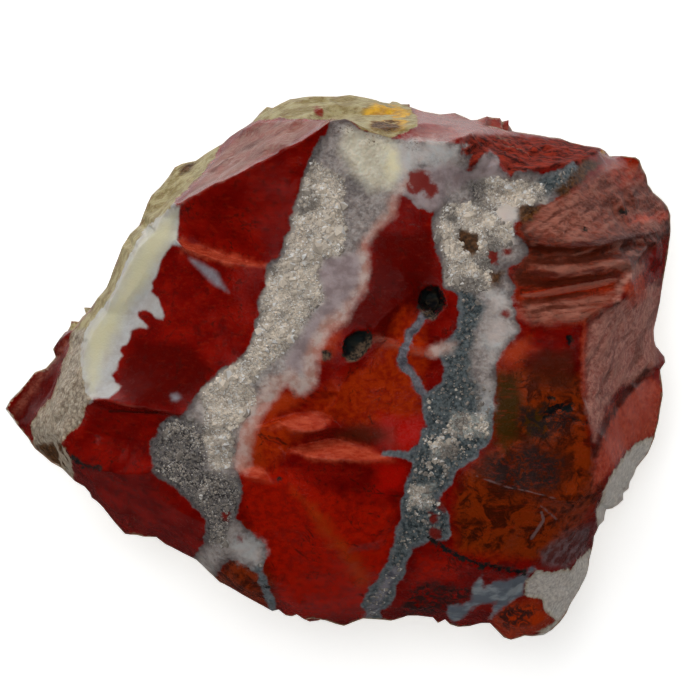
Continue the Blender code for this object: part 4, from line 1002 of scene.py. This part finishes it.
    # Soot-black spots and pits, and murky ones
    ragged = n.times(n.plus(n.noise(0.45, 5.0, 0.75), -0.5), 2.2)
    dark = n.ramp(n.plus(n.plus(n.field("black"), n.times(wander, 0.6)), ragged), -0.10, 0.12)
    soot = n.coats(
        n.mix(n.ramp(fine, 0.45, 0.65), (0.006, 0.006, 0.007), (0.030, 0.022, 0.014)),
        (n.ramp(coarse, 0.5, 0.6, 0.0, 0.7), (0.010, 0.016, 0.016)),
    )
    murk = n.mix(n.ramp(n.noise(0.4, 3.0, 0.7), 0.42, 0.58), (0.020, 0.018, 0.016), (0.13, 0.085, 0.055))
    specks = n.ramp(n.noise(0.22, 3.0, 0.7), 0.55, 0.62, 0.0, 0.8)
    edge_highlight_share = n.math("SUBTRACT", 0.35, zone("black", -0.8, 0.0, 0.35, 0.7))
    colour = n.coats(
        colour,
        (vein, quartz),
        (milk, creamy),
        (band, banded),
        (agate, n.mix(streamers, (0.130, 0.150, 0.180), (0.28, 0.31, 0.33))),
        (n.times(haze, 0.74), n.mix(cloud, (0.50, 0.26, 0.20), (0.66, 0.52, 0.46))),
        (zone("blue", -0.25, 0.3, 0.9), n.mix(cloud, (0.09, 0.085, 0.105), (0.26, 0.24, 0.27))),
        (crust, rind),
        (zone("rust", -0.4, 0.4, 0.9), n.mix(cloud, (0.40, 0.19, 0.012), (0.76, 0.42, 0.03))),
        (zone("brown", -0.4, 0.3, 0.96), n.mix(mottle, (0.020, 0.008, 0.003), (0.14, 0.055, 0.016))),
        (n.times(zone("specks", -0.6, 0.4), specks), (0.10, 0.050, 0.022)),
        (zone("lens", -0.25, 0.45, 0.85, 0.5), n.mix(cloud, (0.24, 0.23, 0.26), (0.33, 0.35, 0.39))),
        (zone("red_inclusion", -0.30, 0.20, 0.92, 1.6), (0.21, 0.010, 0.004)),
        (dark, soot),
        (zone("murk", -0.25, 0.2, 0.9), murk),
        # Painted highlight: edges are a little paler, as where light catches the fresh break
        (n.times(n.ramp(n.field("edge"), 0.12, 0.45), edge_highlight_share), (0.50, 0.17, 0.12)),
    )

    # Shine, the quartz's milkiness and the finest relief
    milky = n.most(milk, band, agate)
    pale = n.most(vein, milky, crust)
    soft = n.most(milky, haze, zone("violet", -0.5, 0.5))
    grainy = n.math("SUBTRACT", n.most(vein, crust), soft, clamp=True)
    gloss = n.blend(n.ramp(fine, 0.4, 0.7), 0.22, 0.32)
    gloss = n.blend(satin, gloss, 0.5)
    gloss = n.blend(ledge, gloss, 0.85)
    lumps = n.bump(n.plus(n.times(tiny, 0.5), n.times(fine, 0.5)), 0.00012, 0.55)
    lumps = n.bump(n.times(streaked, satin), 0.00018, 0.6, lumps)
    lumps = n.bump(n.times(n.cells(0.36), n.times(grainy, -1.0)), 0.0002, 0.6, lumps)
    n.look(
        Base_Color=colour,
        Roughness=n.blend(dark, n.blend(pale, gloss, 0.38), 0.7),
        IOR=QUARTZ_IOR,
        Specular_IOR_Level=n.blend(crust, 0.26, 0.06),
        Subsurface_Weight=n.times(pale, 0.55),
        Subsurface_Radius=(1.0, 0.75, 0.6),
        Subsurface_Scale=0.0009,
        Normal=lumps,
    )
    return n.material


def crystal_material():
    """Small clear to milky quartz points, with painted shade on some facets and a painted glint on others.
    """
    n = Nodes("quartz_points")
    cloud = n.noise(0.9, 3.0)
    tone = n.field("tone")
    facet_glint_and_shade = n.field("facet_glint_and_shade")
    n.look(
        Base_Color=n.coats(
            n.mix(tone, (0.10, 0.093, 0.095), (1.0, 0.87, 0.72)),
            (n.ramp(cloud, 0.45, 0.75, 0, 0.3), (0.80, 0.68, 0.57)),
            # Painted shade on some facets and a painted glint on others
            (n.ramp(facet_glint_and_shade, 0.0, 0.5, 0.36, 0.0), (0.16, 0.145, 0.135)),
            (n.times(n.ramp(facet_glint_and_shade, 0.80, 0.86), n.ramp(tone, 0.1, 0.6)), (1.0, 0.98, 0.95)),
        ),
        Roughness=n.blend(cloud, 0.04, 0.16),
        IOR=QUARTZ_IOR,
        Transmission_Weight=0.3,
    )
    return n.material


def crystal_places(skin, fields, chance):
    """Where crystals stand, their directions, sizes and tones, from 0 for dark to 1."""
    corners = skin.co[skin.faces]
    centre = corners.mean(1)
    facing = skin.normals()[skin.faces].mean(1)
    sides = np.cross(corners[:, 1] - corners[:, 0], corners[:, 2] - corners[:, 0])
    area = np.linalg.norm(sides, axis=1) / 2
    at_face = {name: field[skin.faces].mean(1) for name, field in fields.items()}

    shade = ramp(at_face["shade"], -0.3, 0.3)
    cool = ramp(at_face["cool"], -0.3, 0.3)
    sparkle = 0.75 * ramp(at_face["sparkle"] + 2.2 * noise_at(centre, 0.9, 2), -0.1, 0.6)
    bright = np.maximum(ramp(at_face["druse"], -0.3, 0.3) * (1 - 0.75 * shade), sparkle)
    shade = shade * (1 - cool) + 0.16 * cool
    smoke = ramp(at_face["smoke"], -0.5, 0.4)
    stained = np.maximum(at_face["brown"], at_face["red_inclusion"])
    wish = (at_face["vein"] > 0.45) * np.maximum(bright * (bright > 0.3), 0.4 * shade)
    wish = wish * (1 - ramp(at_face["milk"], -0.3, 0.1)) * (facing[:, 2] > 0.25)
    wish *= 1 - ramp(at_face["cream"], -0.4, 0.4) * 0.6
    wish *= 1 - ramp(stained, -0.25, 0.05)
    weight = area * wish
    clump = 0.75 + 0.9 * ramp(noise_at(centre, 2.4, 2), -0.1, 0.6)
    light = noise_at(centre, 1.7, 2)
    # Painted shade: crystals in the hollows between the druse's lumps are darker
    hollow_shade = ramp(cells_at(centre, 1.3), 0.45, 0.85)
    right_vein = ramp(centre[:, 0] + PLAN_CENTRE[0], 42.0, 44.0)
    dull = np.maximum(shade, cool) * (1 - bright)

    steps = [(i, j, k) for i in (-1, 0, 1) for j in (-1, 0, 1) for k in (-1, 0, 1)]
    taken = {}
    points, ups, sizes, tones = [], [], [], []
    for pick in chance.choice(len(weight), size=CRYSTAL_TRIES, p=weight / weight.sum()):
        a, b = sorted(chance.random(2))
        where = corners[pick][0] * a + corners[pick][1] * (b - a) + corners[pick][2] * (1 - b)
        size = (0.13 + 0.32 * chance.random() ** 2.4) * clump[pick] * (1 - 0.45 * dull[pick])
        cell = (where // CRYSTAL_CELL).astype(int)
        near = [one for step in steps for one in taken.get(tuple(cell + step), [])]
        if any(((p - where) ** 2).sum() < (CRYSTAL_ROOM * (s + size)) ** 2 for p, s in near):
            continue
        taken.setdefault(tuple(cell), []).append((where, size))
        lean = facing[pick] + chance.normal(0, 0.5, 3)
        tone = 0.34 + 0.58 * bright[pick] + 0.30 * light[pick] + chance.normal(0, 0.10)
        tone -= 0.26 * hollow_shade[pick] + 0.40 * smoke[pick]
        tone += right_vein[pick] * (0.75 * light[pick] - 0.12)
        points.append(where)
        ups.append(lean / np.linalg.norm(lean))
        sizes.append(size)
        tones.append(np.clip(tone, 0.24, 1))
    return np.array(points), np.array(ups), np.array(sizes), np.array(tones)


def crystals(skin, fields):
    """Quartz points that stand close together in the veins, as one mesh."""
    chance = np.random.default_rng(SEED)
    points, ups, sizes, tones = crystal_places(skin, fields, chance)
    count = len(points)
    side = np.cross(ups, chance.normal(0, 1, (count, 3)))
    side /= np.linalg.norm(side, axis=1)[:, None]
    other = np.cross(ups, side)
    turns = (np.arange(RING) * 2 * math.pi / RING)[None, :, None]
    rim = side[:, None] * np.cos(turns) + other[:, None] * np.sin(turns)
    rim = rim * (sizes[:, None, None] * chance.uniform(0.85, 1.15, (count, RING, 1)))
    tall = sizes * chance.uniform(-0.5, 0.05, count)
    base = points[:, None] + rim - ups[:, None] * sizes[:, None, None] * 0.8
    top = points[:, None] + rim + ups[:, None] * tall[:, None, None]
    tip = points + ups * (tall + sizes * chance.uniform(0.6, 1.05, count))[:, None]
    co = np.concatenate([base, top, tip[:, None]], axis=1).reshape(-1, 3)
    apex = 2 * RING
    faces = []
    for i in range(RING):
        j = (i + 1) % RING
        faces += [(i, j, RING + j), (i, RING + j, RING + i), (RING + i, RING + j, apex)]
    faces += [(0, i + 1, i) for i in range(1, RING - 1)]
    faces = (np.arange(count)[:, None, None] * (apex + 1) + np.array(faces)[None]).reshape(-1, 3)
    # A random value per facet, which sets its painted shade and glint
    named = {"tone": np.repeat(tones, apex + 1), "facet_glint_and_shade": chance.random(len(faces))}
    return mesh_object("quartz_crystals", co, faces, named, smooth=False)


def zone_values(skin, fields):
    """The zones' distances that the material reads, let go on the walls and the back."""
    up = skin.normals()[:, 2]
    shown = ramp(up, -0.5, -0.2)
    upward = ramp(up, 0.05, 0.25)
    named = {}
    for name, field in fields.items():
        share = upward if name in SPOTS else shown
        named[name] = field if name == "vein" else field * share - REACH * (1 - share)
    named["under"] = ramp(-up + 0.22 * noise_at(skin.co, 4.0, 2), -0.05, 0.22)
    named["edge"] = skin.edginess()
    return named


skin = Skin(NODE)
fields = displaced(skin)

stone = mesh_object("jasper_skin", skin.co, skin.faces, zone_values(skin, fields), smooth=True)
stone.data.materials.append(stone_material())
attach(stone, "root")
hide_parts(NODE)

druse = crystals(skin, fields)
druse.data.materials.append(crystal_material())
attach(druse, "root")

# The studio: a pale floor, soft lights that leave no mirror image, and a long lens from above
CAMERA_LENS = 1200.0
SENSOR = 36.0
VIEW_WIDTH = 70.0 * UNIT
CAMERA_AIM = ((35.0 - PLAN_CENTRE[0]) * UNIT, (PLAN_CENTRE[1] - 35.0) * UNIT, 0.019)
LIGHT_AIM = Vector((0, 0, 0.015))

floor = linked("floor", bpy.data.meshes.new("floor"))
ground = bmesh.new()
bmesh.ops.create_grid(ground, x_segments=1, y_segments=1, size=1.5)
ground.to_mesh(floor.data)
ground.free()
paper = Nodes("pale_floor")
paper.look(
    Base_Color=paper.mix(paper.noise(6.0, 3.0), (0.86, 0.86, 0.86), (0.88, 0.88, 0.88)),
    Roughness=0.9,
    Emission_Color=(1.0, 1.0, 1.0),
    Emission_Strength=0.62,
)
floor.data.materials.append(paper.material)
floor.visible_glossy = False

# Large soft lights that face the stone: name, place, width and height, power in watts
for name, place, size, power in (
    ("key", (-0.15, 0.62, 0.28), (0.6, 0.22), 1.9),
    ("left", (-0.66, 0.10, 0.26), (0.5, 0.2), 0.18),
    ("right", (0.66, 0.10, 0.24), (0.5, 0.2), 0.05),
    ("overhead", (-0.06, 0.10, 0.75), (0.5, 0.5), 3.2),
):
    light = bpy.data.lights.new(name, "AREA")
    light.shape = "RECTANGLE"
    light.size, light.size_y = size
    light.energy = power
    softbox = linked(name, light)
    softbox.location = place
    softbox.visible_glossy = False
    softbox.rotation_euler = (LIGHT_AIM - Vector(place)).to_track_quat("-Z", "Y").to_euler()

world = bpy.data.worlds.new("studio")
bpy.context.scene.world = world
world.use_nodes = True
sky = world.node_tree
direction = sky.nodes.new("ShaderNodeSeparateXYZ")
sky.links.new(sky.nodes.new("ShaderNodeTexCoord").outputs["Generated"], direction.inputs[0])
product = sky.nodes.new("ShaderNodeMath")
product.operation = "MULTIPLY"
# The sky is dark overhead and brightest low down, towards the photo's top edge
for i, (axis, limits) in enumerate((("Z", (-0.35, 0.25, 1.0, 0.002)), ("Y", (-0.15, 0.75, 0.02, 1.5)))):
    fade = sky.nodes.new("ShaderNodeMapRange")
    fade.interpolation_type = "SMOOTHSTEP"
    sky.links.new(direction.outputs[axis], fade.inputs["Value"])
    for key, value in zip(("From Min", "From Max", "To Min", "To Max"), limits):
        fade.inputs[key].default_value = value
    sky.links.new(fade.outputs["Result"], product.inputs[i])
sky.links.new(product.outputs[0], sky.nodes["Background"].inputs["Strength"])
sky.nodes["Background"].inputs["Color"].default_value = (1.0, 1.0, 1.0, 1.0)

lens = bpy.data.cameras.new("camera")
lens.lens = CAMERA_LENS
lens.sensor_width = SENSOR
lens.clip_end = 20.0
camera = linked("camera", lens)
camera.location = (*CAMERA_AIM[:2], CAMERA_AIM[2] + VIEW_WIDTH * CAMERA_LENS / SENSOR)
bpy.context.scene.camera = camera
bpy.context.scene.view_settings.view_transform = "Standard"
